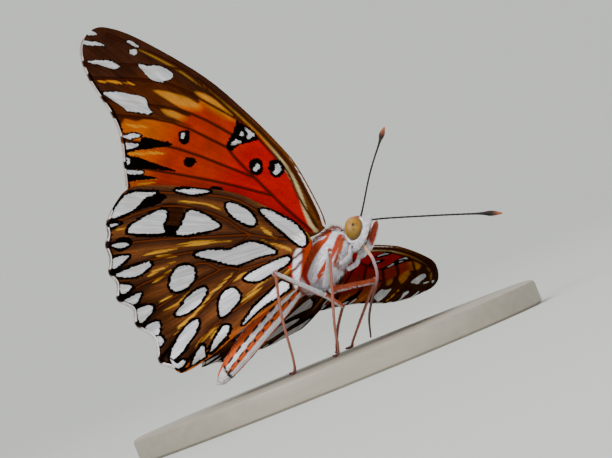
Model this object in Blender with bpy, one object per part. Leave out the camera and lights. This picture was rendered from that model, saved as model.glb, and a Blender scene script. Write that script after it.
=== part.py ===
"""Gulf fritillary butterfly, life size, standing on a small round base.

Lengths are in millimetres until placing. The body frame has x forward, y to the animal's left and
z dorsal, with its origin midway between the forewing hinges. A wing point is (p, q): p forward and
q outward from the hinge, in the wing's own plane.
"""
from math import cos, pi, radians, sin, sqrt

import bmesh
import bpy
from mathutils import Matrix, Vector
from mathutils.geometry import delaunay_2d_cdt

MM = 0.001
GAP = 0.3

# How the animal stands
YAW, PITCH, ROLL = radians(-16.3), radians(10.9), radians(38.5)
BASE_RADIUS = 26.0
BASE_THICK = 3.0
BASE_EDGE = 0.5
BASE_SIDES = 64
HINGE_OVER_SOLES = 13.0
HINGE_SPOT = Vector((5.0, -4.0, BASE_THICK + GAP + HINGE_OVER_SOLES))

# Wings; a value that differs between the sides has the left one under 1 and the right one under -1
DIHEDRAL = {1: radians(24.9), -1: radians(26.0)}
HINGE_HALF = 2.2
WING_THICK = 0.5
VEIN_RISE = 0.12
VEIN_HALF = 0.38
FOREWING_BOW = {1: -0.44, -1: 0.8}
FOREWING_SWEEP = {1: radians(2.4), -1: 0.0}
FOREWING_TWIST = {1: radians(7.5), -1: 0.0}
HINDWING_BOW, HINDWING_DROP = 0.8, 1.1
BOW_SPAN = 40.0
# A millimetre of bow carries a wing point this far inward, along the photo's line of sight
BOW_LEAN = (-0.31, -0.41)
# The hindwing's inner part hangs beside the abdomen on the right and lies over it on the left
FOLD_START, FOLD_RUN = 2.0, 7.0
FOLD = {1: Vector((-0.83, 2.15, 1.92)), -1: Vector((1.66, 4.31, -3.83))}
GRID = 2.4
# The grid's first point and its width, around any wing
GRID_START, GRID_WIDTH = (-30.0, -8.0), 60.0

FOREWING_EDGE = [
    (0.6, 0.15), (1.3, 0.6), (2.0, 2.7), (3.0, 7.9), (3.2, 11.3), (2.6, 18.0), (1.3, 25.0),
    (-1.7, 32.9), (-3.8, 36.4), (-5.5, 37.4), (-7.6, 36.7), (-8.9, 34.8), (-9.8, 31.8), (-10.3, 27.5),
    (-11.3, 24.3), (-13.0, 21.5), (-14.9, 18.4), (-15.2, 16.9), (-11.5, 12.0), (-6.5, 6.2), (-1.9, 0.9),
    (-0.8, 0.15),
]
FOREWING_VEINS = [
    [(0.2, 0.9), (0.9, 5.5), (1.8, 8.8), (1.8, 12.8), (1.4, 17.5), (0.4, 24.7), (-0.9, 28.0), (-8.4, 34.0)],
    [(1.1, 1.6), (2.4, 8.0), (2.6, 12.0), (1.9, 18.5), (0.6, 25.0)],
    [(1.0, 21.0), (-0.4, 28.0), (-3.9, 35.3)],
    [(-0.6, 1.0), (-1.3, 5.3), (-1.5, 7.4), (-1.8, 10.6), (-2.0, 15.7), (-0.2, 16.0), (1.4, 17.5)],
    [(-1.5, 7.4), (-6.2, 13.4), (-12.7, 20.6)],
    [(-1.8, 10.6), (-6.8, 19.1), (-10.9, 23.4)],
    [(-2.0, 15.7), (-5.2, 22.2), (-9.8, 26.8)],
    [(-0.2, 16.0), (-2.7, 21.8), (-6.1, 25.7), (-9.4, 29.2)],
    [(1.4, 17.5), (-1.7, 25.0), (-3.9, 28.1), (-9.0, 32.4)],
    [(-1.4, 1.3), (-7.0, 8.0), (-13.8, 17.3)],
]
HINDWING_EDGE = [
    (-1.5, -0.4), (-1.2, 1.2), (-1.6, 3.5), (-3.4, 7.4), (-5.1, 10.5), (-9.5, 14.8), (-13.3, 17.7),
    (-15.3, 18.3), (-18.0, 17.3), (-19.6, 16.1), (-20.4, 14.9), (-21.5, 13.8), (-22.2, 12.2),
    (-23.4, 10.7), (-23.6, 9.0), (-24.8, 7.2), (-24.1, 5.2), (-25.1, 3.1), (-24.4, 0.5), (-25.7, -2.4),
    (-25.0, -3.8), (-24.6, -5.2), (-22.5, -5.6), (-18.7, -5.4), (-14.3, -4.8), (-8.1, -4.4), (-6.2, -4.1),
    (-4.2, -2.4), (-2.4, -1.2),
]
HINDWING_VEINS = [
    [(-2.2, 0.4), (-4.2, 6.8), (-5.7, 10.1), (-9.3, 13.5), (-14.4, 17.6)],
    [(-2.2, 0.4), (-6.7, 4.8), (-8.0, 8.4), (-9.6, 11.0), (-11.6, 13.2), (-14.2, 14.6), (-19.0, 15.8)],
    [(-6.7, 4.8), (-9.6, 6.7), (-15.8, 10.7), (-20.9, 13.6)],
    [(-6.7, 4.8), (-9.0, 4.7), (-12.7, 6.6), (-18.4, 9.2), (-22.8, 10.5)],
    [(-12.5, 3.2), (-14.0, 5.4), (-20.7, 7.1), (-24.2, 7.1)],
    [(-3.0, -0.8), (-4.9, -0.9), (-7.1, 0.4), (-10.4, 1.7), (-12.5, 3.2), (-21.2, 3.6), (-24.5, 3.1)],
    [(-10.4, 1.7), (-12.6, 1.1), (-17.7, 0.0), (-25.1, -2.3)],
    [(-4.1, -1.8), (-6.0, -2.3), (-12.1, -2.3), (-18.2, -2.7), (-24.1, -4.8)],
]

# Trunk: x, height of the middle, half width, half height
THORAX = [
    (2.4, -1.6, 0.7, 0.8), (2.1, -1.5, 1.3, 1.6), (1.2, -1.4, 1.9, 2.4), (-0.4, -1.9, 2.2, 3.0),
    (-2.0, -2.4, 2.2, 3.1), (-3.4, -2.9, 1.8, 2.7), (-4.5, -3.2, 1.3, 1.9), (-5.1, -3.3, 0.8, 1.1),
]
ABDOMEN = [
    (-5.5, -3.3, 0.7, 0.9), (-6.1, -3.4, 1.0, 1.3), (-8.5, -4.2, 1.35, 1.65), (-11.5, -5.3, 1.4, 1.75),
    (-14.5, -6.6, 1.4, 1.7), (-17.0, -7.8, 1.2, 1.4), (-18.7, -8.7, 0.85, 1.0), (-19.5, -9.1, 0.4, 0.5),
]
HEAD = [
    (2.75, -1.65, 0.5, 0.6), (3.0, -1.65, 0.8, 0.95), (3.55, -1.7, 0.85, 1.2), (4.1, -1.75, 0.8, 1.0),
    (4.4, -1.8, 0.55, 0.6),
]
EYE_SPOT = (3.8, 1.15, -1.55)
EYE_SIZE = (1.0, 1.15, 1.5)
EYE_TILT = radians(-20)
PALP = [(3.0, 0.85, -3.8), (4.5, 0.85, -3.2), (5.4, 0.85, -2.1), (6.2, 0.85, -0.7)]
PALP_HALVES = [0.34, 0.36, 0.36, 0.28]
PROBOSCIS = [
    (3.7, 0, -3.3), (4.2, 0, -5.0), (4.4, 0, -6.6), (4.2, 0, -8.6), (3.4, 0, -10.2), (2.4, 0, -11.6),
    (1.4, 0, -13.6), (0.8, 0, -16.2),
]
PROBOSCIS_HALVES = [0.25, 0.25, 0.2]
ANTENNA_RIGHT = [(4.3, -0.5, -0.25), (5.4, -1.0, 0.1), (10.0, -6.1, 0.1), (16.2, -13.0, -1.3)]
ANTENNA_LEFT = [(4.3, 0.5, -0.25), (5.7, 1.1, 0.1), (10.6, 6.7, 0.6), (17.0, 13.6, 0.6)]
ANTENNA_HALVES = [0.25, 0.25, 0.25, 0.25, 0.26, 0.45, 0.3]
FORELEG = [(0.6, 0.8, -4.8), (1.9, 0.9, -4.5), (2.6, 1.0, -3.4)]
FORELEG_HALVES = [0.28, 0.25, 0.25]

# Walking legs, from the hinge spot in the world's directions: coxa, knee, shin and foot
LEGS = {
    "hindleg_right": [(-3.75, -4.0, -4.95), (-7.4, -8.9, -1.1), (-8.6, -8.8, -6.0), (-9.2, -8.8, -11.0)],
    "midleg_right": [(-2.3, -4.0, -4.3), (-0.5, -8.0, -1.2), (-3.1, -8.3, -9.0), (-3.7, -8.4, -11.6)],
    "midleg_left": [(-1.6, -2.5, -5.5), (3.2, 1.5, -6.4), (0.7, 3.0, -9.2), (-1.8, 4.2, -12.0)],
    "hindleg_left": [(-2.9, -2.1, -5.8), (-1.5, 0.0, -7.8), (-2.9, 3.2, -9.8), (-4.0, 6.0, -12.0)],
}
FEET = {
    "hindleg_right": (-10.3, -9.1),
    "midleg_right": (-4.8, -8.8),
    "midleg_left": (-3.1, 4.7),
    "hindleg_left": (-4.4, 7.4),
}
LEG_HALF, LEG_SIDES = 0.32, 8
FEMUR_HALVES = [0.42, 0.34]
# Each leg's two nodes stop this far short of the knee's middle
KNEE_SHORT = 0.45

# Colour and roughness of each kind of node
FINISHES = {
    "thorax": ((0.55, 0.33, 0.2), 0.9),
    "abdomen": ((0.72, 0.45, 0.3), 0.8),
    "head": ((0.55, 0.38, 0.28), 0.9),
    "eye": ((0.45, 0.27, 0.05), 0.2),
    "palp": ((0.75, 0.5, 0.42), 0.8),
    "antenna": ((0.03, 0.02, 0.02), 0.5),
    "proboscis": ((0.4, 0.25, 0.22), 0.5),
    "foreleg": ((0.38, 0.2, 0.15), 0.6),
    "midleg": ((0.38, 0.2, 0.15), 0.6),
    "hindleg": ((0.38, 0.2, 0.15), 0.6),
    "forewing": ((0.58, 0.1, 0.03), 0.7),
    "hindwing": ((0.12, 0.06, 0.03), 0.7),
    "stand_base": ((0.35, 0.33, 0.3), 0.7),
}

STANCE = Matrix.Rotation(YAW, 3, "Z") @ Matrix.Rotation(-PITCH, 3, "Y") @ Matrix.Rotation(-ROLL, 3, "X")


def from_body(point):
    """A body point in the world, in millimetres."""
    return HINGE_SPOT + STANCE @ Vector(point)


def smooth(points, steps):
    """A curve through the points, with steps pieces between each pair."""
    points = [Vector(point) for point in points]
    ends = [2 * points[0] - points[1]] + points + [2 * points[-1] - points[-2]]
    curve = []
    for a, b, c, d in zip(ends, ends[1:], ends[2:], ends[3:]):
        for step in range(steps):
            t = step / steps
            curve.append(
                0.5 * (2 * b + (c - a) * t + (2 * a - 5 * b + 4 * c - d) * t * t + (3 * b - a - 3 * c + d) * t**3)
            )
    return curve + [points[-1]]


def finish(name):
    """The material of a node, made once for its kind."""
    kind = next(kind for kind in FINISHES if name.startswith(kind))
    material = bpy.data.materials.get(kind)
    if material is None:
        material = bpy.data.materials.new(kind)
        material.use_nodes = True
        shader = material.node_tree.nodes["Principled BSDF"]
        colour, roughness = FINISHES[kind]
        shader.inputs["Base Color"].default_value = (*colour, 1)
        shader.inputs["Roughness"].default_value = roughness
        shader.inputs["Metallic"].default_value = 0
    return material


def add_node(name, points, faces, holder=None):
    """A closed solid as a scene object. Its points are in world millimetres."""
    if holder:
        points = [STANCE.inverted() @ (Vector(point) - HINGE_SPOT) for point in points]
    mesh = bmesh.new()
    corners = [mesh.verts.new(Vector(point) * MM) for point in points]
    for face in faces:
        mesh.faces.new([corners[index] for index in face])
    bmesh.ops.triangulate(mesh, faces=[face for face in mesh.faces if len(face.verts) > 3])
    bmesh.ops.recalc_face_normals(mesh, faces=mesh.faces)
    if mesh.calc_volume(signed=True) < 0:
        bmesh.ops.reverse_faces(mesh, faces=mesh.faces)
    data = bpy.data.meshes.new(name)
    mesh.to_mesh(data)
    mesh.free()
    data.shade_smooth()
    data.set_sharp_from_angle(angle=radians(40))
    data.materials.append(finish(name))
    node = bpy.data.objects.new(name, data)
    node.parent = holder
    bpy.context.scene.collection.objects.link(node)


def loft(name, rings, holder=None):
    """A solid through rings of equal length, with a flat cap at each end."""
    size = len(rings[0])
    points = [point for ring in rings for point in ring]
    faces = [list(range(size)), list(range(len(points) - size, len(points)))]
    for row in range(len(rings) - 1):
        for index in range(size):
            other = (index + 1) % size
            low, high = row * size, (row + 1) * size
            faces.append((low + index, low + other, high + other, high + index))
    add_node(name, points, faces, holder)


def trunk(name, slices, sides, holder):
    """A body part from oval slices across the body's length."""
    rings = []
    for x, middle, half_width, half_height in smooth_slices(slices):
        ring = []
        for index in range(sides):
            turn = 2 * pi * index / sides
            ring.append(from_body((x, half_width * sin(turn), middle + half_height * cos(turn))))
        rings.append(ring)
    loft(name, rings, holder)


def smooth_slices(slices):
    """The slices with a smooth one between each pair."""
    return [tuple(item) for item in smooth(slices, 2)]


def tube(name, points, halves, sides, holder):
    """A round bar along the points. At its last point one flat side faces straight down."""
    points = [Vector(point) for point in points]
    ways = [(after - before).normalized() for before, after in zip(points, points[1:])]
    ways = [ways[0]] + [(a + b).normalized() for a, b in zip(ways, ways[1:])] + [ways[-1]]
    up = Vector((0, 0, 1))
    if abs(ways[-1].z) > 0.95:
        up = Vector((1, 0, 0))
    rings = []
    for point, way, half in zip(reversed(points), reversed(ways), reversed(halves)):
        up = (up - way * up.dot(way)).normalized()
        side = way.cross(up)
        ring = []
        for index in range(sides):
            turn = 2 * pi * (index + 0.5) / sides
            ring.append(point + half * (cos(turn) * up + sin(turn) * side))
        rings.append(ring)
    loft(name, rings, holder)


def spread(values, count):
    """The values as count evenly spaced ones."""
    out = []
    for index in range(count):
        place = index * (len(values) - 1) / (count - 1)
        low = min(int(place), len(values) - 2)
        out.append(values[low] + (values[low + 1] - values[low]) * (place - low))
    return out


def wing_point(p, q, side, hind):
    """The middle of a wing's membrane in body millimetres. side is 1 for left and -1 for right."""
    bow, sweep, twist = FOREWING_BOW[side], FOREWING_SWEEP[side], FOREWING_TWIST[side]
    drop, fold = 0.0, 0.0
    if hind:
        bow, sweep, twist = HINDWING_BOW, 0.0, 0.0
        drop = HINDWING_DROP
        run = min(max((FOLD_START - q) / FOLD_RUN, 0), 1)
        fold = run * run * (3 - 2 * run)
    p, q = p * cos(sweep) + q * sin(sweep), q * cos(sweep) - p * sin(sweep)
    height = bow * sin(pi * max(q, 0) / BOW_SPAN) - drop
    raised = height - p * sin(twist)
    p, q = p * cos(twist) + BOW_LEAN[0] * height, q + BOW_LEAN[1] * height
    out = HINGE_HALF + q * cos(DIHEDRAL[side]) - raised * sin(DIHEDRAL[side])
    rise = q * sin(DIHEDRAL[side]) + raised * cos(DIHEDRAL[side])
    point = Vector((p, out, rise)) + fold * FOLD[side]
    return Vector((point.x, side * point.y, point.z))


def wing_normal(p, q, side, hind):
    """The dorsal normal of a wing's membrane."""
    step = 0.05
    along = wing_point(p + step, q, side, hind) - wing_point(p - step, q, side, hind)
    across = wing_point(p, q + step, side, hind) - wing_point(p, q - step, side, hind)
    return (side * along.cross(across)).normalized()


def distance(point, line):
    """How far a wing point lies from a line of points."""
    best = 1e9
    for start, end in zip(line, line[1:]):
        along = end - start
        share = min(max((point - start).dot(along) / along.length_squared, 0), 1)
        best = min(best, (point - start - along * share).length)
    return best


def inside(point, outline):
    """True if the point lies within the closed outline."""
    odd = False
    for a, b in zip(outline, outline[1:] + outline[:1]):
        if (a.y > point.y) != (b.y > point.y):
            if point.x < a.x + (point.y - a.y) * (b.x - a.x) / (b.y - a.y):
                odd = not odd
    return odd


def wing(name, edge, veins, side, hind, holder):
    """A thin curved vane with its veins raised on both faces, split into triangles alike on both."""
    outline = [Vector(point) for point in smooth(edge + edge[:1], 2)[:-1]]
    lines = [smooth(vein, 2) for vein in veins]
    points = list(outline)
    edges = [(index, (index + 1) % len(outline)) for index in range(len(outline))]
    for line in lines:
        for offset in (-VEIN_HALF, 0, VEIN_HALF):
            first = len(points)
            for index, point in enumerate(line):
                way = line[min(index + 1, len(line) - 1)] - line[max(index - 1, 0)]
                points.append(point + offset * Vector((-way.y, way.x)).normalized())
            edges += [(index, index + 1) for index in range(first, len(points) - 1)]
    border = outline + outline[:1]
    rows = int(GRID_WIDTH / GRID)
    for row in range(rows):
        for column in range(rows):
            spot = Vector(((column + 0.5 * (row % 2)) * GRID, row * GRID * sqrt(0.75))) + Vector(GRID_START)
            if inside(spot, outline) and distance(spot, border) > 0.5 * GRID:
                if min(distance(spot, line) for line in lines) > 0.5 * GRID:
                    points.append(spot)
    loop = list(range(len(outline)))
    flat, _, triangles, *_ = delaunay_2d_cdt(points, edges, [loop], 1, 1e-4)
    upper, lower = [], []
    for spot in flat:
        near = min(distance(spot, line) for line in lines)
        half = WING_THICK / 2 + VEIN_RISE * max(0, 1 - near / VEIN_HALF)
        middle = wing_point(spot.x, spot.y, side, hind)
        normal = wing_normal(spot.x, spot.y, side, hind)
        upper.append(from_body(middle + half * normal))
        lower.append(from_body(middle - half * normal))
    count = len(flat)
    faces = [tuple(face) for face in triangles]
    faces += [tuple(index + count for index in reversed(face)) for face in triangles]
    sides = {}
    for face in triangles:
        for a, b in zip(face, face[1:] + face[:1]):
            if (b, a) in sides:
                del sides[b, a]
            else:
                sides[a, b] = True
    for a, b in sides:
        faces.append((b, a, a + count))
        faces.append((b, a + count, b + count))
    add_node(name, upper + lower, faces, holder)


def eye(name, side, holder):
    """Half an egg shape with its flat face towards the head."""
    turns, rows = 16, 6
    rings = []
    for row in range(rows):
        lift = 0.5 * pi * row / rows
        ring = []
        for index in range(turns):
            turn = 2 * pi * index / turns
            x = EYE_SIZE[0] * cos(lift) * cos(turn)
            z = EYE_SIZE[2] * cos(lift) * sin(turn)
            x, z = x * cos(EYE_TILT) - z * sin(EYE_TILT), x * sin(EYE_TILT) + z * cos(EYE_TILT)
            y = EYE_SPOT[1] + EYE_SIZE[1] * sin(lift)
            ring.append(from_body((EYE_SPOT[0] + x, side * y, EYE_SPOT[2] + z)))
        rings.append(ring)
    loft(name, rings, holder)


def body_tube(name, points, halves, sides, holder, steps=4):
    """A round bar along a smooth curve of body points."""
    curve = [from_body(point) for point in smooth(points, steps)]
    tube(name, curve, spread(halves, len(curve)), sides, holder)


def leg(name, holder):
    """A walking leg in two nodes that meet at the knee."""
    coxa, knee, shin, ankle = [HINGE_SPOT + Vector(point) for point in LEGS[name]]
    toe = HINGE_SPOT + Vector((*FEET[name], 0))
    toe.z = BASE_THICK + GAP + LEG_HALF * cos(pi / LEG_SIDES)
    heel = ankle + (toe - ankle) * 0.4
    heel.z = toe.z
    back = (coxa - knee).normalized()
    down = (shin - knee).normalized()
    tube(f"{name}_femur", [coxa, knee + back * KNEE_SHORT], FEMUR_HALVES, LEG_SIDES, holder)
    tube(f"{name}_shank", [knee + down * KNEE_SHORT, shin, ankle, heel, toe], [LEG_HALF] * 5, LEG_SIDES, holder)


def mirrored(points, side):
    """Body points on the left for side 1 and on the right for side -1."""
    return [(x, side * y, z) for x, y, z in points]


def base():
    """The round base, with a small chamfer at its upper rim."""
    rings = []
    for radius, height in (
        (BASE_RADIUS, 0),
        (BASE_RADIUS, BASE_THICK - BASE_EDGE),
        (BASE_RADIUS - BASE_EDGE, BASE_THICK),
    ):
        turns = [2 * pi * index / BASE_SIDES for index in range(BASE_SIDES)]
        rings.append([(radius * cos(turn), radius * sin(turn), height) for turn in turns])
    loft("stand_base", rings)


def main():
    """Builds every node in its place."""
    for item in list(bpy.data.objects):
        bpy.data.objects.remove(item)
    body = bpy.data.objects.new("butterfly", None)
    body.matrix_world = Matrix.Translation(HINGE_SPOT * MM) @ STANCE.to_4x4()
    bpy.context.scene.collection.objects.link(body)
    trunk("thorax", THORAX, 20, body)
    trunk("abdomen", ABDOMEN, 18, body)
    trunk("head", HEAD, 16, body)
    body_tube("proboscis", PROBOSCIS, PROBOSCIS_HALVES, 8, body, 2)
    for word, side in (("left", 1), ("right", -1)):
        wing(f"forewing_{word}", FOREWING_EDGE, FOREWING_VEINS, side, False, body)
        wing(f"hindwing_{word}", HINDWING_EDGE, HINDWING_VEINS, side, True, body)
        eye(f"eye_{word}", side, body)
        body_tube(f"palp_{word}", mirrored(PALP, side), PALP_HALVES, 10, body)
        body_tube(f"foreleg_{word}", mirrored(FORELEG, side), FORELEG_HALVES, 8, body)
    for word, points in (("left", ANTENNA_LEFT), ("right", ANTENNA_RIGHT)):
        body_tube(f"antenna_{word}", points, ANTENNA_HALVES, 8, body)
    for name in LEGS:
        leg(name, body)
    base()


main()
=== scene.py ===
"""Gulf fritillary butterfly, life size: the wings, skin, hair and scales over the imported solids.

Sizes are in millimetres in the animal's own frame (x forward, y to its left, z dorsal, with the
origin midway between the forewing hinges) and turn to metres where a piece takes its place.
A wing point is (p, q): p forward and q outward from the hinge, in the wing's plane.
"""
import logging
import sys
from collections.abc import Callable, Sequence
from dataclasses import dataclass, replace
from enum import Enum
from math import cos, pi, radians, sin

import bmesh
import bpy
import numpy as np
from mathutils import Matrix, Vector


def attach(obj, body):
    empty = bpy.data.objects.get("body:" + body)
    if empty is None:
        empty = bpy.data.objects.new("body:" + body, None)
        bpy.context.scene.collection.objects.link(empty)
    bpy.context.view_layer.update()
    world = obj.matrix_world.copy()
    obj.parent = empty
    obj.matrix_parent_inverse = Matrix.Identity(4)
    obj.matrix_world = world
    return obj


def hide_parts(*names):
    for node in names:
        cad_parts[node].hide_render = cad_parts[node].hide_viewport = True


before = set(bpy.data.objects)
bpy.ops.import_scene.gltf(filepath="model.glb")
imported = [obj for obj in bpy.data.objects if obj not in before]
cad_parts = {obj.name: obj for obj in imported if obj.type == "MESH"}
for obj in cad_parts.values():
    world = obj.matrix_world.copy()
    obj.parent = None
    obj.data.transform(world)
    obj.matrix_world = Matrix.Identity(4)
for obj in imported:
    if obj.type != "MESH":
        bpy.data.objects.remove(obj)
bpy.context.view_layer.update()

LOG = logging.getLogger("butterfly")
MM = 0.001
# How many millimetres one unit of a wing's maps holds
MAP_UNIT = 100.0
# The distance of a marking that isn't there
FAR = 9.0
Points = Sequence[tuple[float, ...]]
# A colour in a finish: where it comes from, or sRGB hex
Paint = bpy.types.NodeSocket | str


class Side(Enum):
    """Which side of the animal a paired piece is on; the value is the sign of y."""

    LEFT = 1
    RIGHT = -1

    @property
    def word(self) -> str:
        """The side's name as pieces and nodes have it."""
        return self.name.lower()

    def mirror(self, points: np.ndarray) -> np.ndarray:
        """Points given for the left side, on this side."""
        return points * np.array([1, self.value, 1])


class Form(Enum):
    """How a body form's slices stand: upright across the body, or square to its run."""

    TRUNK = "trunk"
    BAR = "bar"


def linear(colour: str) -> tuple[float, float, float, float]:
    """Turns an sRGB hex colour to linear light.

    Args:
        colour: six hex digits.

    Returns:
        Linear red, green, blue and an alpha of 1.
    """
    parts = [int(colour[index : index + 2], 16) / 255 for index in (0, 2, 4)]
    return (*[part / 12.92 if part <= 0.04045 else ((part + 0.055) / 1.055) ** 2.4 for part in parts], 1.0)


def unit(ways: np.ndarray) -> np.ndarray:
    """Rows turned to a length of 1."""
    return ways / np.linalg.norm(ways, axis=1)[:, None].clip(1e-9)


def smooth_curve(points: Points, steps: int, closed: bool = False) -> np.ndarray:
    """A curve through points, with even steps between each pair.

    Args:
        points: the points to pass through.
        steps: pieces between two neighbouring points.
        closed: True for a ring, whose first point isn't repeated.

    Returns:
        The curve's points, one row each.
    """
    given = np.array(points, float)
    if closed:
        knots = np.vstack([given[-1:], given, given[:2]])
    else:
        knots = np.vstack([2 * given[:1] - given[1:2], given, 2 * given[-1:] - given[-2:-1]])
    t = (np.arange(steps) / steps)[:, None]
    rows = []
    for a, b, c, d in zip(knots, knots[1:], knots[2:], knots[3:]):
        bend = (2 * a - 5 * b + 4 * c - d) * t**2 + (3 * b - a - 3 * c + d) * t**3
        rows.append(0.5 * (2 * b + (c - a) * t + bend))
    curve = np.vstack(rows)
    return curve if closed else np.vstack([curve, given[-1:]])


def line_distance(spots: np.ndarray, line: np.ndarray) -> np.ndarray:
    """How far each spot lies from a line of points, in the plane.

    Args:
        spots: plane points, one row each.
        line: the line's points, one row each.

    Returns:
        One distance for each spot.
    """
    best = np.full(len(spots), np.inf)
    for start, end in zip(line, line[1:]):
        along = end - start
        share = ((spots - start) @ along / max(along @ along, 1e-12)).clip(0, 1)[:, None]
        best = np.minimum(best, np.linalg.norm(spots - start - share * along, axis=1))
    return best


def streak_distance(spots: np.ndarray, line: Points, half: float) -> np.ndarray:
    """How far each spot lies from a streak that tapers to both its ends, negative inside it.

    Args:
        spots: plane points, one row each.
        line: the streak's middle line.
        half: its half width at the middle.

    Returns:
        One signed distance for each spot.
    """
    curve = smooth_curve(line, 12)
    taper = half * np.sin(np.linspace(0, pi, len(curve))) ** 0.6
    gaps = np.linalg.norm(spots[:, None, :] - curve[None], axis=2)
    return (gaps - taper[None]).min(axis=1)


def patch_distance(spots: np.ndarray, patch: np.ndarray) -> np.ndarray:
    """How far each spot lies from a closed outline, negative inside it.

    Args:
        spots: plane points, one row each.
        patch: the outline's points, one row each.

    Returns:
        One signed distance for each spot.
    """
    ring = np.vstack([patch, patch[:1]])
    odd = np.zeros(len(spots), bool)
    for a, b in zip(ring, ring[1:]):
        if a[1] != b[1]:
            crosses = (a[1] > spots[:, 1]) != (b[1] > spots[:, 1])
            odd ^= crosses & (spots[:, 0] < a[0] + (spots[:, 1] - a[1]) * (b[0] - a[0]) / (b[1] - a[1]))
    return np.where(odd, -1, 1) * line_distance(spots, ring)


def nearest_patch(spots: np.ndarray, patches: Sequence[Points], steps: int = 4) -> np.ndarray:
    """Signed distance to the nearest of some rounded patches.

    Args:
        spots: plane points, one row each.
        patches: each patch's corner points.
        steps: pieces between two corners.

    Returns:
        One signed distance for each spot.
    """
    found = np.full(len(spots), FAR)
    for patch in patches:
        found = np.minimum(found, patch_distance(spots, smooth_curve(patch, steps, closed=True)))
    return found


def nearest_line(spots: np.ndarray, lines: Sequence[Points], steps: int = 3) -> np.ndarray:
    """Distance to the nearest of some smooth lines.

    Args:
        spots: plane points, one row each.
        lines: each line's points.
        steps: pieces between two of them.

    Returns:
        One distance for each spot.
    """
    found = np.full(len(spots), FAR)
    for line in lines:
        found = np.minimum(found, line_distance(spots, smooth_curve(line, steps)))
    return found


def fade(value: np.ndarray, low: float, high: float) -> np.ndarray:
    """A smooth step from 0 at low to 1 at high."""
    share = ((value - low) / (high - low)).clip(0, 1)
    return share * share * (3 - 2 * share)


def within(value: np.ndarray, low: float, high: float) -> np.ndarray:
    """A smooth step from 1 at low to 0 at high."""
    return 1 - fade(value, low, high)


def layered(
    base: str | np.ndarray, count: int, layers: Sequence[tuple[str | np.ndarray, np.ndarray]] = ()
) -> np.ndarray:
    """Rows of colour, with others laid over them in turn.

    Args:
        base: the colour below, as sRGB hex or as linear rows.
        count: how many rows.
        layers: each upper colour, and the share of it that each row takes, from 0 to 1.

    Returns:
        Linear colours, one row each.
    """
    rows = np.tile(linear(base), (count, 1)) if isinstance(base, str) else base
    for colour, share in layers:
        over = np.array(linear(colour)) if isinstance(colour, str) else colour
        rows = rows + (over - rows) * share[:, None]
    return rows


@dataclass(frozen=True)
class Stance:
    """Where the animal stands and how it is turned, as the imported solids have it."""

    yaw: float = radians(-16.3)
    pitch: float = radians(10.9)
    roll: float = radians(38.5)
    hinge: tuple[float, float, float] = (5.0, -4.0, 16.3)
    hinge_half: float = 2.2

    def turn(self) -> np.ndarray:
        """The 3 by 3 matrix from the animal's frame to the world's."""
        turned = Matrix.Rotation(self.yaw, 3, "Z") @ Matrix.Rotation(-self.pitch, 3, "Y")
        return np.array(turned @ Matrix.Rotation(-self.roll, 3, "X"))

    def to_world(self, points: np.ndarray) -> np.ndarray:
        """Animal points in millimetres as world points in metres."""
        return (np.array(self.hinge) + np.asarray(points) @ self.turn().T) * MM

    def from_world(self, points: np.ndarray) -> np.ndarray:
        """World points given from the hinge in millimetres, in the animal's frame."""
        return np.asarray(points) @ self.turn()


STANCE = Stance()


def finished_mesh(made: bmesh.types.BMesh, name: str) -> bpy.types.Mesh:
    """Turns a worked mesh into a finished one.

    Args:
        made: the worked mesh, which is freed.
        name: the finished mesh's name.

    Returns:
        The finished mesh.
    """
    mesh = bpy.data.meshes.new(name)
    made.to_mesh(mesh)
    made.free()
    return mesh


def add_object(name: str, data: bpy.types.ID) -> bpy.types.Object:
    """Puts an object in the scene.

    Args:
        name: the object's name.
        data: its mesh, camera or light.

    Returns:
        The object.
    """
    made = bpy.data.objects.new(name, data)
    bpy.context.scene.collection.objects.link(made)
    return made


def add_piece(mesh: bpy.types.Mesh, nodes: list[str], slot: str, finish: "Finish") -> None:
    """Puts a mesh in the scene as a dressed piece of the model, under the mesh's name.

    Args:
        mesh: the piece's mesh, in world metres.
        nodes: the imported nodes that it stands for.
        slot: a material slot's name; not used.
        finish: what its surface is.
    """
    piece = add_object(mesh.name, mesh)
    mesh.materials.append(finish.material())
    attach(piece, "root")
    if nodes:
        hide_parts(*nodes)
    LOG.info("%s: %d faces", mesh.name, len(mesh.polygons))


def store(mesh: bpy.types.Mesh, name: str, values: np.ndarray) -> None:
    """Stores a number or a linear colour for each vertex.

    Args:
        mesh: the mesh.
        name: what the values are stored under.
        values: one number or one row of four for each vertex.
    """
    kind, key = ("FLOAT", "value") if values.ndim == 1 else ("FLOAT_COLOR", "color")
    mesh.attributes.new(name, kind, "POINT").data.foreach_set(key, values.astype(np.float32).ravel())


def lay_map(mesh: bpy.types.Mesh, name: str, rows: np.ndarray) -> None:
    """Lays a map on a mesh.

    Args:
        mesh: the mesh.
        name: the map's name.
        rows: each vertex's place on it.
    """
    corners = np.empty(len(mesh.loops), int)
    mesh.loops.foreach_get("vertex_index", corners)
    layer = mesh.uv_layers.new(name=name)
    layer.data.foreach_set("uv", rows[corners].astype(np.float32).ravel())


def places(mesh: bpy.types.Mesh) -> np.ndarray:
    """The vertices' places.

    Args:
        mesh: the mesh.

    Returns:
        One row each.
    """
    flat = np.empty(len(mesh.vertices) * 3)
    mesh.vertices.foreach_get("co", flat)
    return flat.reshape(-1, 3)


def move_to(mesh: bpy.types.Mesh, points: np.ndarray) -> None:
    """Moves the vertices to places in the animal's frame, as the world has them."""
    mesh.vertices.foreach_set("co", STANCE.to_world(points).astype(np.float32).ravel())
    mesh.update()


# Finishes


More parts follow.
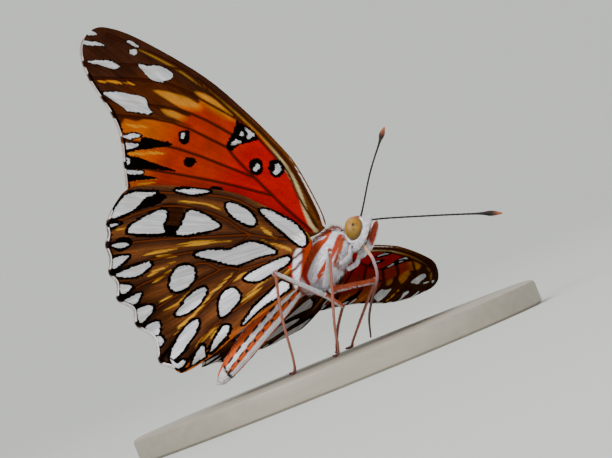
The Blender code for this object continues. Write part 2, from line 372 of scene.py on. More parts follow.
def add_node(tree: bpy.types.NodeTree, kind: str, settings: dict, links: dict) -> bpy.types.Node:
    """Adds a shader node.

    Args:
        tree: the material's node tree.
        kind: the node's type name after "ShaderNode".
        settings: properties by name; a key that starts with "=" sets the input socket of that name.
        links: output sockets by the name or number of the input that they feed.

    Returns:
        The new node.
    """
    node = tree.nodes.new("ShaderNode" + kind)
    for name, value in settings.items():
        if name.startswith("="):
            key = name[1:]
            node.inputs[int(key) if key.isdigit() else key].default_value = value
        else:
            setattr(node, name, value)
    for key, socket in links.items():
        tree.links.new(socket, node.inputs[key])
    return node


def ends(low: float, high: float, least: float, most: float) -> dict[str, float]:
    """Settings that carry the numbers from low to high over to those from least to most."""
    return {"=1": low, "=2": high, "=3": least, "=4": most}


def lay_over(
    tree: bpy.types.NodeTree, under: Paint, over: Paint, number: bpy.types.NodeSocket, band: tuple[float, ...]
) -> tuple[bpy.types.NodeSocket, bpy.types.NodeSocket]:
    """Lays a colour over another, as far as a number says.

    Args:
        tree: the material's node tree.
        under: the lower colour, a socket or sRGB hex.
        over: the upper colour.
        number: what decides.
        band: the numbers between which the upper colour's share changes, and its share at each.

    Returns:
        The new colour, and the upper one's share.
    """
    soft = ends(*band) | {"interpolation_type": "SMOOTHSTEP"}
    share = add_node(tree, "MapRange", soft, {0: number}).outputs[0]
    settings, links = {"data_type": "RGBA"}, {0: share}
    for key, colour in ((6, under), (7, over)):
        if isinstance(colour, str):
            settings[f"={key}"] = linear(colour)
        else:
            links[key] = colour
    return add_node(tree, "Mix", settings, links).outputs[2], share


def shade(
    tree: bpy.types.NodeTree, number: bpy.types.NodeSocket, band: tuple[float, ...]
) -> bpy.types.NodeSocket:
    """Darkens and lightens a mesh's stored coat colours.

    Args:
        tree: the material's node tree.
        number: what decides.
        band: the numbers between which the brightness changes, and the brightness at each.

    Returns:
        The shaded colour.
    """
    tone = add_node(tree, "Attribute", {"attribute_name": "coat"}, {}).outputs["Color"]
    share = add_node(tree, "MapRange", ends(*band), {0: number}).outputs[0]
    return add_node(tree, "VectorMath", {"operation": "SCALE"}, {0: tone, "Scale": share}).outputs[0]


@dataclass(frozen=True)
class Finish:
    """A surface's finish; each kind draws its own nodes."""

    name: str

    def material(self) -> bpy.types.Material:
        """The material, made on first use.

        Returns:
            The material.
        """
        found = bpy.data.materials.get(self.name)
        if found:
            return found
        made = bpy.data.materials.new(self.name)
        made.use_nodes = True
        tree = made.node_tree
        tree.nodes.clear()
        shader = self.draw(tree)
        add_node(tree, "OutputMaterial", {}, {"Surface": shader.outputs[0]})
        return made

    def draw(self, tree: bpy.types.NodeTree) -> bpy.types.Node:
        """Adds the nodes and returns the shader node."""
        raise NotImplementedError


@dataclass(frozen=True)
class WingScales(Finish):
    """Overlapping flat scales on a membrane, as tiles in rows: matt pigment scales in brown, orange
    and black, and silver ones, smooth inside and so almost mirror-like, between black rims. A scale
    is 0.1 mm across, and is drawn at twice that so that it shows."""

    vein: str = "3A1609"
    streak: str = "C07A1C"
    row: float = 0.2
    ragged: float = 0.1
    prefix: str = ""

    def draw(self, tree: bpy.types.NodeTree) -> bpy.types.Node:
        """Adds the nodes.

        Args:
            tree: the material's node tree.

        Returns:
            The shader node.
        """
        stored = {}
        for name in ("ground", "hatch", "streak", "vein", "black", "silver", "pale_edge"):
            found = add_node(tree, "Attribute", {"attribute_name": self.prefix + name}, {})
            stored[name] = found.outputs["Color" if name == "ground" else "Fac"]
        # One map is the wing's plane, the other is unrolled about its root, so that noise runs in rays
        plane = add_node(tree, "UVMap", {"uv_map": "WingPlane"}, {}).outputs[0]
        rays = add_node(tree, "UVMap", {"uv_map": "WingRays"}, {}).outputs[0]
        noises = {}
        for name, place, scale, detail, rough in (
            ("grain", plane, MAP_UNIT / 0.3, 3.0, 0.7),
            ("cloud", plane, MAP_UNIT / 2.4, 2.0, 0.5),
            ("lines", rays, MAP_UNIT, 4.0, 0.65),
        ):
            settings = {"=Scale": scale, "=Detail": detail, "=Roughness": rough}
            noises[name] = add_node(tree, "TexNoise", settings, {"Vector": place}).outputs["Fac"]
        tiles = add_node(tree, "TexVoronoi", {"=Scale": MAP_UNIT / self.row}, {"Vector": plane})
        # Each wave is a noise between ends of its own
        waves = {}
        for name, noise, band in (
            ("shake", "grain", (0.3, 0.7, -self.ragged, self.ragged)),
            ("shiver", "lines", (0.3, 0.7, -0.12, 0.12)),
            ("speckle", "cloud", (0.25, 0.75, 0.78, 1.22)),
            ("fleck", "grain", (0.2, 0.8, 0.78, 1.2)),
            ("hatch", "lines", (0.3, 0.7, 0.55, 1.45)),
        ):
            waves[name] = add_node(tree, "MapRange", ends(*band), {0: noises[noise]}).outputs[0]
        for name, kind, first, second in (
            ("ragged", "ADD", "shake", "shiver"),
            ("frayed", "ADD", "shiver", "shiver"),
            ("plain", "MULTIPLY", "speckle", "fleck"),
            ("hatched", "MULTIPLY", "plain", "hatch"),
        ):
            sockets = {0: waves[first], 1: waves[second]}
            waves[name] = add_node(tree, "Math", {"operation": kind}, sockets).outputs[0]
        for name, wave in (("streak", "frayed"), ("black", "ragged"), ("silver", "ragged")):
            sockets = {0: stored[name], 1: waves[wave]}
            stored[name] = add_node(tree, "Math", {"operation": "ADD"}, sockets).outputs[0]

        sockets = {0: stored["hatch"], 2: waves["plain"], 3: waves["hatched"]}
        share = add_node(tree, "Mix", {"data_type": "FLOAT"}, sockets).outputs[0]
        sockets = {0: stored["ground"], "Scale": share}
        colour = add_node(tree, "VectorMath", {"operation": "SCALE"}, sockets).outputs[0]
        # The silver's grey lines along the rays are painted shade of its fine folds; the creamy cloud laid
        # over them is its own uneven tone.
        silver_with_painted_fold_shade = lay_over(tree, "A9ABB4", "DEDBDD", noises["lines"], (0.3, 0.7, 0, 1))[0]
        silver_with_painted_fold_shade = lay_over(tree, silver_with_painted_fold_shade, "BAB4A8", noises["cloud"], (0.45, 0.75, 0, 0.5))[0]
        # From below to above: the number that decides, the colour, and its band
        shares = {}
        for name, over, band in (
            ("streak", self.streak, (-0.1, 0.08, 1, 0)),
            ("vein", "0C0503", (0.1, 0.34, 0.6, 0)),
            ("vein", self.vein, (0.07, 0.12, 1, 0)),
            ("black", "070403", (-0.03, 0.06, 1, 0)),
            ("silver", silver_with_painted_fold_shade, (-0.1, -0.02, 1, 0)),
            ("pale_edge", "DAD0CD", (-0.04, 0.03, 1, 0)),
        ):
            colour, shares[name] = lay_over(tree, colour, over, stored[name], band)
        sockets = {"Base Color": colour}
        for name, matt, silvery in (("Roughness", 0.62, 0.38), ("Metallic", 0, 0.25)):
            band = ends(0, 1, matt, silvery)
            sockets[name] = add_node(tree, "MapRange", band, {0: shares["silver"]}).outputs[0]
        soft = ends(0, 0.3, 1, 0) | {"interpolation_type": "SMOOTHSTEP"}
        ridge = add_node(tree, "MapRange", soft, {0: stored["vein"]}).outputs[0]
        tiled = {0: tiles.outputs["Distance"], 2: ridge}
        height = add_node(tree, "Math", {"operation": "MULTIPLY_ADD", "=1": 0.3}, tiled).outputs[0]
        bump = add_node(tree, "Bump", {"=Strength": 0.5, "=Distance": 0.12 * MM}, {"Height": height})
        sockets["Normal"] = bump.outputs[0]
        return add_node(tree, "BsdfPrincipled", {"=Specular IOR Level": 0.0}, sockets)


@dataclass(frozen=True)
class Pelt(Finish):
    """Hair-like scales, and the cuticle under them: chitin, matt and softly sheened at grazing light."""

    roughness: float = 0.75
    sheen: float = 0.08
    grain: float = 0.25

    def draw(self, tree: bpy.types.NodeTree) -> bpy.types.Node:
        """Adds the nodes.

        Args:
            tree: the material's node tree.

        Returns:
            The shader node.
        """
        spot = add_node(tree, "TexCoord", {}, {}).outputs["Object"]
        settings = {"=Scale": 1 / (self.grain * MM), "=Detail": 3.0}
        noise = add_node(tree, "TexNoise", settings, {"Vector": spot}).outputs["Fac"]
        bump = add_node(tree, "Bump", {"=Strength": 0.5, "=Distance": 0.06 * MM}, {"Height": noise})
        return add_node(
            tree,
            "BsdfPrincipled",
            {"=Roughness": self.roughness, "=Sheen Weight": self.sheen, "=Specular IOR Level": 0.3},
            {"Base Color": shade(tree, noise, (0.25, 0.75, 0.75, 1.2)), "Normal": bump.outputs[0]},
        )


@dataclass(frozen=True)
class EyeFacets(Finish):
    """A compound eye: thousands of glassy lenses over amber pigment, glossy with a fine grain. The
    lenses are 0.03 mm across, and are drawn at three times that so that they show."""

    lens: float = 0.09

    def draw(self, tree: bpy.types.NodeTree) -> bpy.types.Node:
        """Adds the nodes.

        Args:
            tree: the material's node tree.

        Returns:
            The shader node.
        """
        spot = add_node(tree, "TexCoord", {}, {}).outputs["Object"]
        settings = {"=Scale": 1 / (self.lens * MM)}
        cells = add_node(tree, "TexVoronoi", settings, {"Vector": spot}).outputs["Distance"]
        domed = {"=Strength": 0.5, "=Distance": 0.03 * MM, "invert": True}
        bump = add_node(tree, "Bump", domed, {"Height": cells})
        return add_node(
            tree,
            "BsdfPrincipled",
            {"=Roughness": 0.46, "=IOR": 1.45, "=Coat Weight": 0.06, "=Coat Roughness": 0.3},
            {"Base Color": shade(tree, cells, (0.0, 0.6, 1.12, 0.8)), "Normal": bump.outputs[0]},
        )


@dataclass(frozen=True)
class BaseLacquer(Finish):
    """Turned beech under a pale matt lacquer: a faint long grain, smooth and even."""

    grain: float = 1.2

    def draw(self, tree: bpy.types.NodeTree) -> bpy.types.Node:
        """Adds the nodes.

        Args:
            tree: the material's node tree.

        Returns:
            The shader node.
        """
        spot = add_node(tree, "TexCoord", {}, {}).outputs["Object"]
        stretched = add_node(tree, "Mapping", {"=Scale": (0.12, 1.0, 1.0)}, {"Vector": spot}).outputs[0]
        settings = {"=Scale": 1 / (self.grain * MM), "=Detail": 5.0, "=Distortion": 0.3}
        noise = add_node(tree, "TexNoise", settings, {"Vector": stretched}).outputs["Fac"]
        tones = {"data_type": "RGBA", "=6": linear("8D8577"), "=7": linear("A59D8F")}
        ramp = add_node(tree, "Mix", tones, {0: noise}).outputs[2]
        bump = add_node(tree, "Bump", {"=Strength": 0.15, "=Distance": 0.08 * MM}, {"Height": noise})
        sockets = {"Base Color": ramp, "Normal": bump.outputs[0]}
        return add_node(tree, "BsdfPrincipled", {"=Roughness": 0.5}, sockets)


@dataclass(frozen=True)
class StudioPaper(Finish):
    """Plain pale background paper, fully matt."""

    colour: str = "BFC2BC"

    def draw(self, tree: bpy.types.NodeTree) -> bpy.types.Node:
        """Adds the nodes and returns the shader node."""
        return add_node(tree, "BsdfPrincipled", {"=Base Color": linear(self.colour), "=Roughness": 0.95}, {})


FOREWING_UNDER = WingScales("forewing_underside_scales")
HINDWING_UNDER = WingScales("hindwing_underside_scales", vein="5C280F", streak="B88228")
WING_UPPER = WingScales("wing_upperside_scales", vein="120806", prefix="up_")
SKIN = Pelt("cuticle_with_short_scales", roughness=0.7)
HAIR = Pelt("hair_scales", grain=0.5)
SHELL = Pelt("smooth_chitin", roughness=0.42, sheen=0.1, grain=0.3)
EYE = EyeFacets("compound_eye")
BASE = BaseLacquer("lacquered_beech")
PAPER = StudioPaper("studio_paper")


# Wings


@dataclass(frozen=True)
class WingPlan:
    """One wing's outline, veins and markings, in millimetres in its own plane.

    The pale edge and the fringe are where p is below the first number of fringed and q above the
    second. The dark line inside the edge is where p is below the first number of edge_line, which
    then gives its distance from the edge and its half width.
    """

    name: str
    hind: bool
    finish: WingScales
    margin: Points
    veins: list[Points]
    silver: list[Points]
    black: list[Points]
    streaks: list[Points]
    rim: float
    upper_black: list[Points]
    upper_white: slice
    fringed: tuple[float, float]
    edge_line: tuple[float, float, float]
    pale_line: float
    fringe_tone: str


FOREWING = WingPlan(
    name="forewing",
    hind=False,
    finish=FOREWING_UNDER,
    margin=[
        (0.6, 0.15), (1.3, 0.6), (2.0, 2.7), (3.0, 7.9), (3.2, 11.3), (2.6, 18.0), (1.3, 25.0), (-1.7, 32.9),
        (-3.8, 36.4), (-5.5, 37.4), (-7.6, 36.7), (-8.9, 34.8), (-9.8, 31.8), (-10.3, 27.5), (-11.3, 24.3),
        (-13.0, 21.5), (-14.9, 18.4), (-15.2, 16.9), (-11.5, 12.0), (-6.5, 6.2), (-1.9, 0.9), (-0.8, 0.15),
    ],
    veins=[
        [(0.2, 0.9), (0.9, 5.5), (1.8, 8.8), (1.8, 12.8), (1.4, 17.5), (0.4, 24.7), (-0.9, 28.0),
         (-8.8, 34.4)],
        [(1.1, 1.6), (2.4, 8.0), (2.6, 12.0), (1.9, 18.5), (0.6, 25.0)],
        [(1.0, 21.0), (-0.4, 28.0), (-4.4, 35.9)],
        [(-0.6, 1.0), (-1.3, 5.3), (-1.5, 7.4), (-1.8, 10.6), (-2.0, 15.7), (-0.2, 16.0), (1.4, 17.5)],
        [(-1.5, 7.4), (-6.2, 13.4), (-13.2, 21.1)],
        [(-1.8, 10.6), (-6.8, 19.1), (-11.4, 23.9)],
        [(-2.0, 15.7), (-5.2, 22.2), (-10.3, 27.2)],
        [(-0.2, 16.0), (-2.7, 21.8), (-6.1, 25.7), (-9.9, 29.5)],
        [(1.4, 17.5), (-1.7, 25.0), (-3.9, 28.1), (-9.6, 32.7)],
        [(-1.4, 1.3), (-7.0, 8.0), (-14.3, 17.9)],
    ],
    silver=[
        [(-7.3, 37.1), (-6.2, 36.1), (-5.4, 34.9), (-6.4, 35.5), (-7.5, 36.6)],
        [(-8.6, 34.6), (-7.7, 34.2), (-6.8, 33.6), (-6.2, 33.0), (-5.8, 31.9), (-6.2, 31.7), (-6.8, 32.2),
         (-7.6, 33.4)],
        [(-3.1, 34.0), (-2.7, 33.6), (-2.4, 33.0), (-2.3, 32.4), (-2.7, 32.6), (-3.1, 33.6)],
        [(-3.8, 32.6), (-3.5, 32.8), (-3.1, 32.7), (-2.8, 32.3), (-3.2, 31.8), (-3.7, 32.0)],
        [(-3.8, 30.9), (-3.1, 30.1), (-2.0, 29.1), (-1.4, 28.0), (-1.4, 27.1), (-2.1, 26.9), (-3.0, 27.2),
         (-3.7, 27.9), (-4.0, 28.7), (-4.0, 30.0)],
        [(-9.5, 30.3), (-8.6, 29.8), (-7.6, 28.9), (-6.7, 27.9), (-6.0, 27.0), (-5.9, 26.4), (-6.3, 25.4),
         (-6.5, 24.6), (-7.3, 25.2), (-8.1, 26.1), (-8.7, 26.6), (-8.8, 27.3), (-9.1, 28.6), (-9.3, 29.4)],
        [(-6.4, 37.8), (-5.6, 37.4), (-5.4, 36.6), (-6.3, 37.1)],
        [(-11.2, 24.3), (-10.5, 24.2), (-9.7, 23.8), (-9.2, 23.0), (-10.5, 23.4)],
        [(-11.4, 23.4), (-10.8, 23.0), (-10.2, 22.4), (-10.8, 22.2), (-11.8, 22.6)],
        [(-12.5, 21.7), (-12.3, 21.3), (-12.6, 20.9), (-13.0, 21.0)],
        [(-13.4, 20.4), (-12.6, 19.9), (-11.9, 19.2), (-12.2, 18.9), (-13.7, 19.9)],
        [(-5.6, 20.2), (-5.1, 20.5), (-4.7, 20.3), (-5.1, 20.0), (-5.4, 19.7), (-5.7, 19.8)],
        [(-1.3, 11.7), (-0.9, 11.8), (-0.5, 12.0), (-0.3, 11.7), (-0.6, 11.2), (-1.3, 11.2)],
        [(0.3, 9.9), (0.8, 10.1), (1.3, 10.6), (1.6, 10.4), (1.5, 9.7), (0.9, 9.3), (0.4, 9.4)],
        [(1.3, 16.7), (1.6, 15.9), (1.7, 15.2), (1.1, 15.0), (0.5, 15.2), (1.0, 15.9), (1.1, 16.5)],
        [(0.1, 16.2), (0.6, 16.5), (0.7, 16.1), (0.4, 15.8)],
        [(-1.4, 15.8), (-0.9, 16.1), (-0.4, 15.9), (-0.2, 15.3), (-0.7, 15.3), (-1.2, 15.5)],
    ],
    black=[
        [(-5.8, 20.4), (-5.3, 20.8), (-4.8, 20.6), (-4.3, 20.2), (-4.7, 19.6), (-5.3, 19.0), (-5.9, 19.1),
         (-6.1, 19.7)],
        [(-7.3, 17.4), (-6.8, 17.6), (-6.4, 17.4), (-6.0, 16.9), (-6.2, 16.4), (-6.8, 16.2), (-7.3, 16.4),
         (-7.5, 16.9)],
        [(-7.0, 12.6), (-6.5, 12.7), (-6.0, 12.4), (-5.7, 11.8), (-5.9, 11.4), (-6.4, 11.5), (-7.0, 12.0)],
        [(-1.5, 12.2), (-0.9, 12.7), (-0.1, 12.6), (0.2, 11.9), (-0.1, 11.2), (-0.8, 10.6), (-1.5, 10.8),
         (-1.7, 11.4)],
        [(0.2, 10.6), (0.9, 11.2), (1.6, 11.1), (2.0, 10.6), (1.9, 9.7), (1.2, 9.0), (0.3, 9.0), (0.0, 9.7)],
        [(1.1, 18.1), (1.2, 17.4), (1.5, 16.8), (1.8, 15.7), (1.7, 14.5), (0.9, 14.6), (-0.1, 14.9),
         (-0.6, 15.2), (-1.3, 15.2), (-1.8, 15.1), (-2.1, 15.7), (-1.2, 16.5), (-0.5, 16.8), (0.4, 17.4)],
        [(-7.0, 19.9), (-8.9, 22.6), (-9.7, 22.7), (-10.3, 22.3), (-12.0, 22.9), (-12.3, 22.5),
         (-10.3, 21.5)],
        [(-8.8, 16.8), (-10.5, 19.7), (-12.3, 21.9), (-13.5, 20.5), (-11.1, 19.0)],
        [(-11.0, 17.4), (-12.5, 19.0), (-13.8, 20.0), (-14.3, 19.3)],
    ],
    streaks=[
        [(-9.2, 31.9), (-7.4, 30.5), (-5.8, 28.8)],
        [(-10.4, 25.7), (-7.8, 23.3)],
        [(-12.1, 22.2), (-8.4, 19.5)],
        [(-13.9, 19.2), (-10.8, 17.3)],
        [(-13.8, 18.3), (-11.7, 17.1)],
    ],
    rim=0.12,
    upper_black=[
        [(-5.9, 20.4), (-4.8, 20.6), (-4.8, 19.4), (-5.9, 19.1)],
        [(-7.5, 17.6), (-6.2, 17.6), (-6.0, 16.3), (-7.4, 16.2)],
        [(-7.1, 12.9), (-5.7, 12.8), (-5.4, 11.5), (-6.7, 11.6)],
        [(-1.6, 12.4), (-0.1, 12.7), (0.0, 11.1), (-1.3, 10.7)],
        [(0.2, 10.7), (1.8, 11.1), (2.0, 9.3), (0.5, 8.7)],
        [(-0.9, 16.8), (1.6, 17.8), (2.0, 15.4), (0.5, 15.0)],
        [(-3.6, 27.0), (-2.5, 27.2), (-2.6, 26.0), (-3.6, 25.9)],
    ],
    upper_white=slice(11, 14),
    fringed=(-7.0, 18.6),
    edge_line=(-9.0, 0.27, 0.13),
    pale_line=0.13,
    fringe_tone="C4AFA6",
)

HINDWING = WingPlan(
    name="hindwing",
    hind=True,
    finish=HINDWING_UNDER,
    margin=[
        (-1.5, -0.4), (-1.2, 1.2), (-1.6, 3.5), (-3.4, 7.4), (-5.1, 10.5), (-9.5, 14.8), (-13.3, 17.7),
        (-15.3, 18.3), (-18.0, 17.3), (-19.6, 16.1), (-20.4, 14.9), (-21.5, 13.8), (-22.2, 12.2),
        (-23.4, 10.7),
        (-23.6, 9.0), (-24.8, 7.2), (-24.1, 5.2), (-25.1, 3.1), (-24.4, 0.5), (-25.7, -2.4), (-25.0, -3.8),
        (-24.6, -5.2), (-22.5, -5.6), (-18.7, -5.4), (-14.3, -4.8), (-8.1, -4.4), (-6.2, -4.1), (-4.2, -2.4),
        (-2.4, -1.2),
    ],
    veins=[
        [(-2.2, 0.4), (-4.2, 6.8), (-5.7, 10.1), (-9.3, 13.5), (-14.9, 18.0)],
        [(-2.2, 0.4), (-6.7, 4.8), (-8.0, 8.4), (-9.6, 11.0), (-11.6, 13.2), (-14.2, 14.6), (-19.4, 16.0)],
        [(-6.7, 4.8), (-9.6, 6.7), (-15.8, 10.7), (-21.3, 13.8)],
        [(-6.7, 4.8), (-9.0, 4.7), (-12.7, 6.6), (-18.4, 9.2), (-23.2, 10.6)],
        [(-12.5, 3.2), (-14.0, 5.4), (-20.7, 7.1), (-24.6, 7.2)],
        [(-3.0, -0.8), (-4.9, -0.9), (-7.1, 0.4), (-10.4, 1.7), (-12.5, 3.2), (-21.2, 3.6), (-24.9, 3.1)],
        [(-10.4, 1.7), (-12.6, 1.1), (-17.7, 0.0), (-25.5, -2.4)],
        [(-4.1, -1.8), (-6.0, -2.3), (-12.1, -2.3), (-18.2, -2.7), (-24.4, -5.0)],
    ],
    silver=[
        [(-18.8, 16.4), (-16.9, 17.5), (-15.1, 17.8), (-13.3, 16.8), (-12.3, 15.9), (-14.1, 16.1),
         (-16.0, 15.7)],
        [(-19.4, 15.9), (-18.2, 15.3), (-19.6, 15.4)],
        [(-18.1, 14.1), (-17.1, 14.3), (-14.6, 14.1), (-12.9, 13.6), (-13.5, 12.5), (-14.4, 12.0),
         (-15.1, 11.1), (-18.2, 13.4)],
        [(-10.6, 11.7), (-11.6, 11.4), (-12.7, 10.7), (-13.9, 10.1), (-11.7, 8.7), (-9.1, 7.8), (-9.2, 9.2),
         (-9.8, 10.8)],
        [(-6.8, 9.7), (-5.9, 9.4), (-5.0, 7.4), (-5.2, 5.8), (-6.1, 5.8), (-7.0, 8.0)],
        [(-3.9, 6.7), (-3.1, 6.2), (-2.3, 4.5), (-1.6, 2.6), (-1.7, 0.5), (-2.5, -0.3), (-3.0, 0.2),
         (-3.4, 2.5), (-3.8, 4.7)],
        [(-10.4, 14.9), (-8.7, 13.8), (-7.2, 12.3), (-9.1, 13.2)],
        [(-13.8, 6.6), (-12.4, 6.3), (-11.0, 5.4), (-9.9, 4.7), (-7.9, 4.3), (-7.0, 3.7), (-6.3, 2.8),
         (-5.7, 1.1), (-6.4, 1.2), (-7.6, 1.8), (-9.1, 2.1), (-10.5, 2.5), (-11.6, 3.6), (-12.6, 5.0)],
        [(-11.0, 0.3), (-10.0, 0.6), (-7.0, 0.2), (-5.1, -0.2), (-5.2, -1.0), (-7.9, -1.0), (-9.8, -0.8)],
        [(-18.8, 4.9), (-18.0, 5.8), (-17.1, 6.3), (-16.1, 6.5), (-15.3, 6.1), (-14.9, 5.4), (-15.2, 4.6),
         (-15.9, 4.0), (-17.0, 3.6), (-18.0, 3.7), (-18.7, 4.2)],
        [(-20.5, 1.5), (-19.6, 1.9), (-18.1, 2.5), (-16.7, 2.7), (-15.7, 2.5), (-15.4, 2.2), (-15.8, 1.7),
         (-16.8, 1.1), (-18.1, 0.8), (-19.3, 0.8), (-20.2, 1.1)],
        [(-15.9, -1.2), (-15.2, -0.3), (-14.1, 0.4), (-13.1, 0.4), (-12.6, -0.1), (-12.6, -0.9),
         (-13.2, -1.6), (-14.1, -1.9), (-15.3, -2.2), (-16.2, -2.1)],
        [(-24.3, -2.7), (-23.2, -1.9), (-21.9, -1.2), (-20.4, -0.7), (-19.3, -0.5), (-18.7, -0.7),
         (-19.0, -1.3), (-20.0, -2.0), (-21.2, -2.5), (-22.4, -3.0), (-23.4, -3.2), (-24.2, -3.3)],
        [(-24.5, -2.9), (-24.8, -3.8), (-24.5, -4.5), (-23.8, -4.6), (-23.1, -4.2), (-23.5, -3.9),
         (-24.1, -4.0), (-24.3, -3.5)],
        [(-20.2, -5.1), (-19.2, -4.3), (-17.8, -3.6), (-16.7, -3.2), (-16.1, -3.6), (-16.9, -4.3),
         (-18.2, -4.7), (-19.3, -5.0)],
        [(-22.9, -5.1), (-22.1, -4.5), (-21.1, -4.0), (-20.1, -3.8), (-20.5, -4.5), (-20.8, -5.2),
         (-21.7, -5.2)],
        [(-7.5, -2.5), (-7.1, -3.6), (-8.5, -3.9), (-11.5, -3.9), (-14.7, -4.4), (-12.2, -3.3), (-9.5, -2.9)],
        [(-21.0, 13.5), (-19.8, 13.2), (-19.2, 12.4), (-20.3, 12.5)],
        [(-21.8, 12.0), (-20.1, 11.1), (-22.7, 10.8)],
        [(-23.1, 10.1), (-20.9, 9.8), (-18.7, 9.1), (-19.0, 8.5), (-21.1, 8.4), (-22.8, 9.5)],
        [(-23.4, 8.7), (-22.3, 7.6), (-24.0, 7.5)],
        [(-24.3, 6.7), (-22.1, 6.3), (-23.5, 5.5)],
        [(-23.8, 4.8), (-22.1, 4.3), (-22.3, 3.6), (-24.6, 3.0)],
        [(-24.5, 2.3), (-22.7, 2.0), (-23.9, 0.4)],
        [(-24.1, 0.5), (-23.6, -0.4), (-24.6, -0.9)],
    ],
    black=[
        [(-14.2, 11.8), (-14.9, 11.4), (-14.9, 10.6), (-13.9, 10.0), (-13.1, 10.3), (-13.2, 11.0)],
        [(-12.3, 15.9), (-11.7, 14.8), (-13.0, 14.6), (-14.8, 15.1), (-16.0, 15.7), (-14.1, 16.1)],
        [(-20.4, 13.6), (-19.4, 13.7), (-18.6, 12.9), (-19.0, 12.2), (-20.9, 12.2)],
    ],
    streaks=[
        [(-11.2, 13.7), (-8.6, 11.4), (-7.6, 9.4)],
        [(-5.2, 5.0), (-4.6, 2.2)],
        [(-15.0, 9.0), (-12.3, 7.6), (-9.1, 5.6)],
        [(-14.0, 8.3), (-10.9, 6.7)],
        [(-19.0, 10.2), (-17.6, 9.7), (-15.0, 8.5)],
        [(-17.8, 9.2), (-15.5, 7.8)],
        [(-20.4, 7.5), (-18.9, 7.6), (-16.2, 7.2)],
        [(-20.1, 6.6), (-18.5, 6.6), (-17.0, 6.6)],
        [(-21.3, 3.9), (-20.1, 3.9), (-19.2, 3.9)],
        [(-21.7, 2.8), (-19.9, 2.5), (-18.3, 2.75), (-16.4, 2.95)],
        [(-11.6, 1.9), (-13.7, 1.4), (-15.6, 1.05), (-17.4, 0.4), (-19.0, 0.15), (-20.6, -0.1),
         (-22.2, -0.7)],
        [(-17.6, 0.3), (-19.4, -0.1), (-21.6, -0.65)],
        [(-12.3, 0.9), (-11.2, 1.0), (-9.9, 1.1)],
        [(-21.0, -3.5), (-19.1, -3.1), (-17.3, -2.7)],
        [(-19.0, -3.7), (-18.0, -3.4), (-16.9, -3.0)],
        [(-14.7, -2.0), (-11.7, -1.7), (-9.6, -1.3), (-7.7, -1.3)],
        [(-13.4, -2.2), (-9.8, -1.8)],
        [(-9.6, -2.4), (-6.9, -2.2), (-5.5, -1.8)],
        [(-6.1, 3.4), (-4.4, 0.7), (-4.2, 0.0)],
        [(-19.4, 14.8), (-17.9, 14.3)],
    ],
    rim=0.3,
    upper_black=[
        [(-9.9, 8.3), (-8.9, 8.4), (-8.9, 7.4), (-9.8, 7.3)],
        [(-14.2, 6.8), (-13.2, 6.9), (-13.2, 5.9), (-14.1, 5.8)],
        [(-15.7, 1.2), (-14.7, 1.3), (-14.7, 0.3), (-15.6, 0.2)],
        [(-12.6, 12.9), (-11.6, 13.0), (-11.6, 12.0), (-12.5, 11.9)],
    ],
    upper_white=slice(0),
    fringed=(-18.0, -4.3),
    edge_line=(-17.0, 0.33, 0.1),
    pale_line=0.21,
    fringe_tone="D2CBCD",
)


@dataclass(frozen=True)
class WingSet:
    """How one wing is held: its rise from level, its turn and twist, and its bow along the span."""

    dihedral: float
    sweep: float
    twist: float
    bow: float
    drop: float
    fold: tuple[float, float, float]


SETS = {
    ("forewing", Side.LEFT): WingSet(radians(24.9), radians(2.4), radians(7.5), -0.44, 0.0, (0, 0, 0)),
    ("forewing", Side.RIGHT): WingSet(radians(26.0), 0.0, 0.0, 0.8, 0.0, (0, 0, 0)),
    ("hindwing", Side.LEFT): WingSet(radians(24.9), 0.0, 0.0, 0.8, 1.1, (-0.83, 2.15, 1.92)),
    ("hindwing", Side.RIGHT): WingSet(radians(26.0), 0.0, 0.0, 0.8, 1.1, (1.66, 4.31, -3.83)),
}


@dataclass(frozen=True)
class WingGaps:
    """Places on a wing, and how far each is from the outline, the front margin and a vein."""

    spots: np.ndarray
    margin: np.ndarray
    front: np.ndarray
    veins: np.ndarray


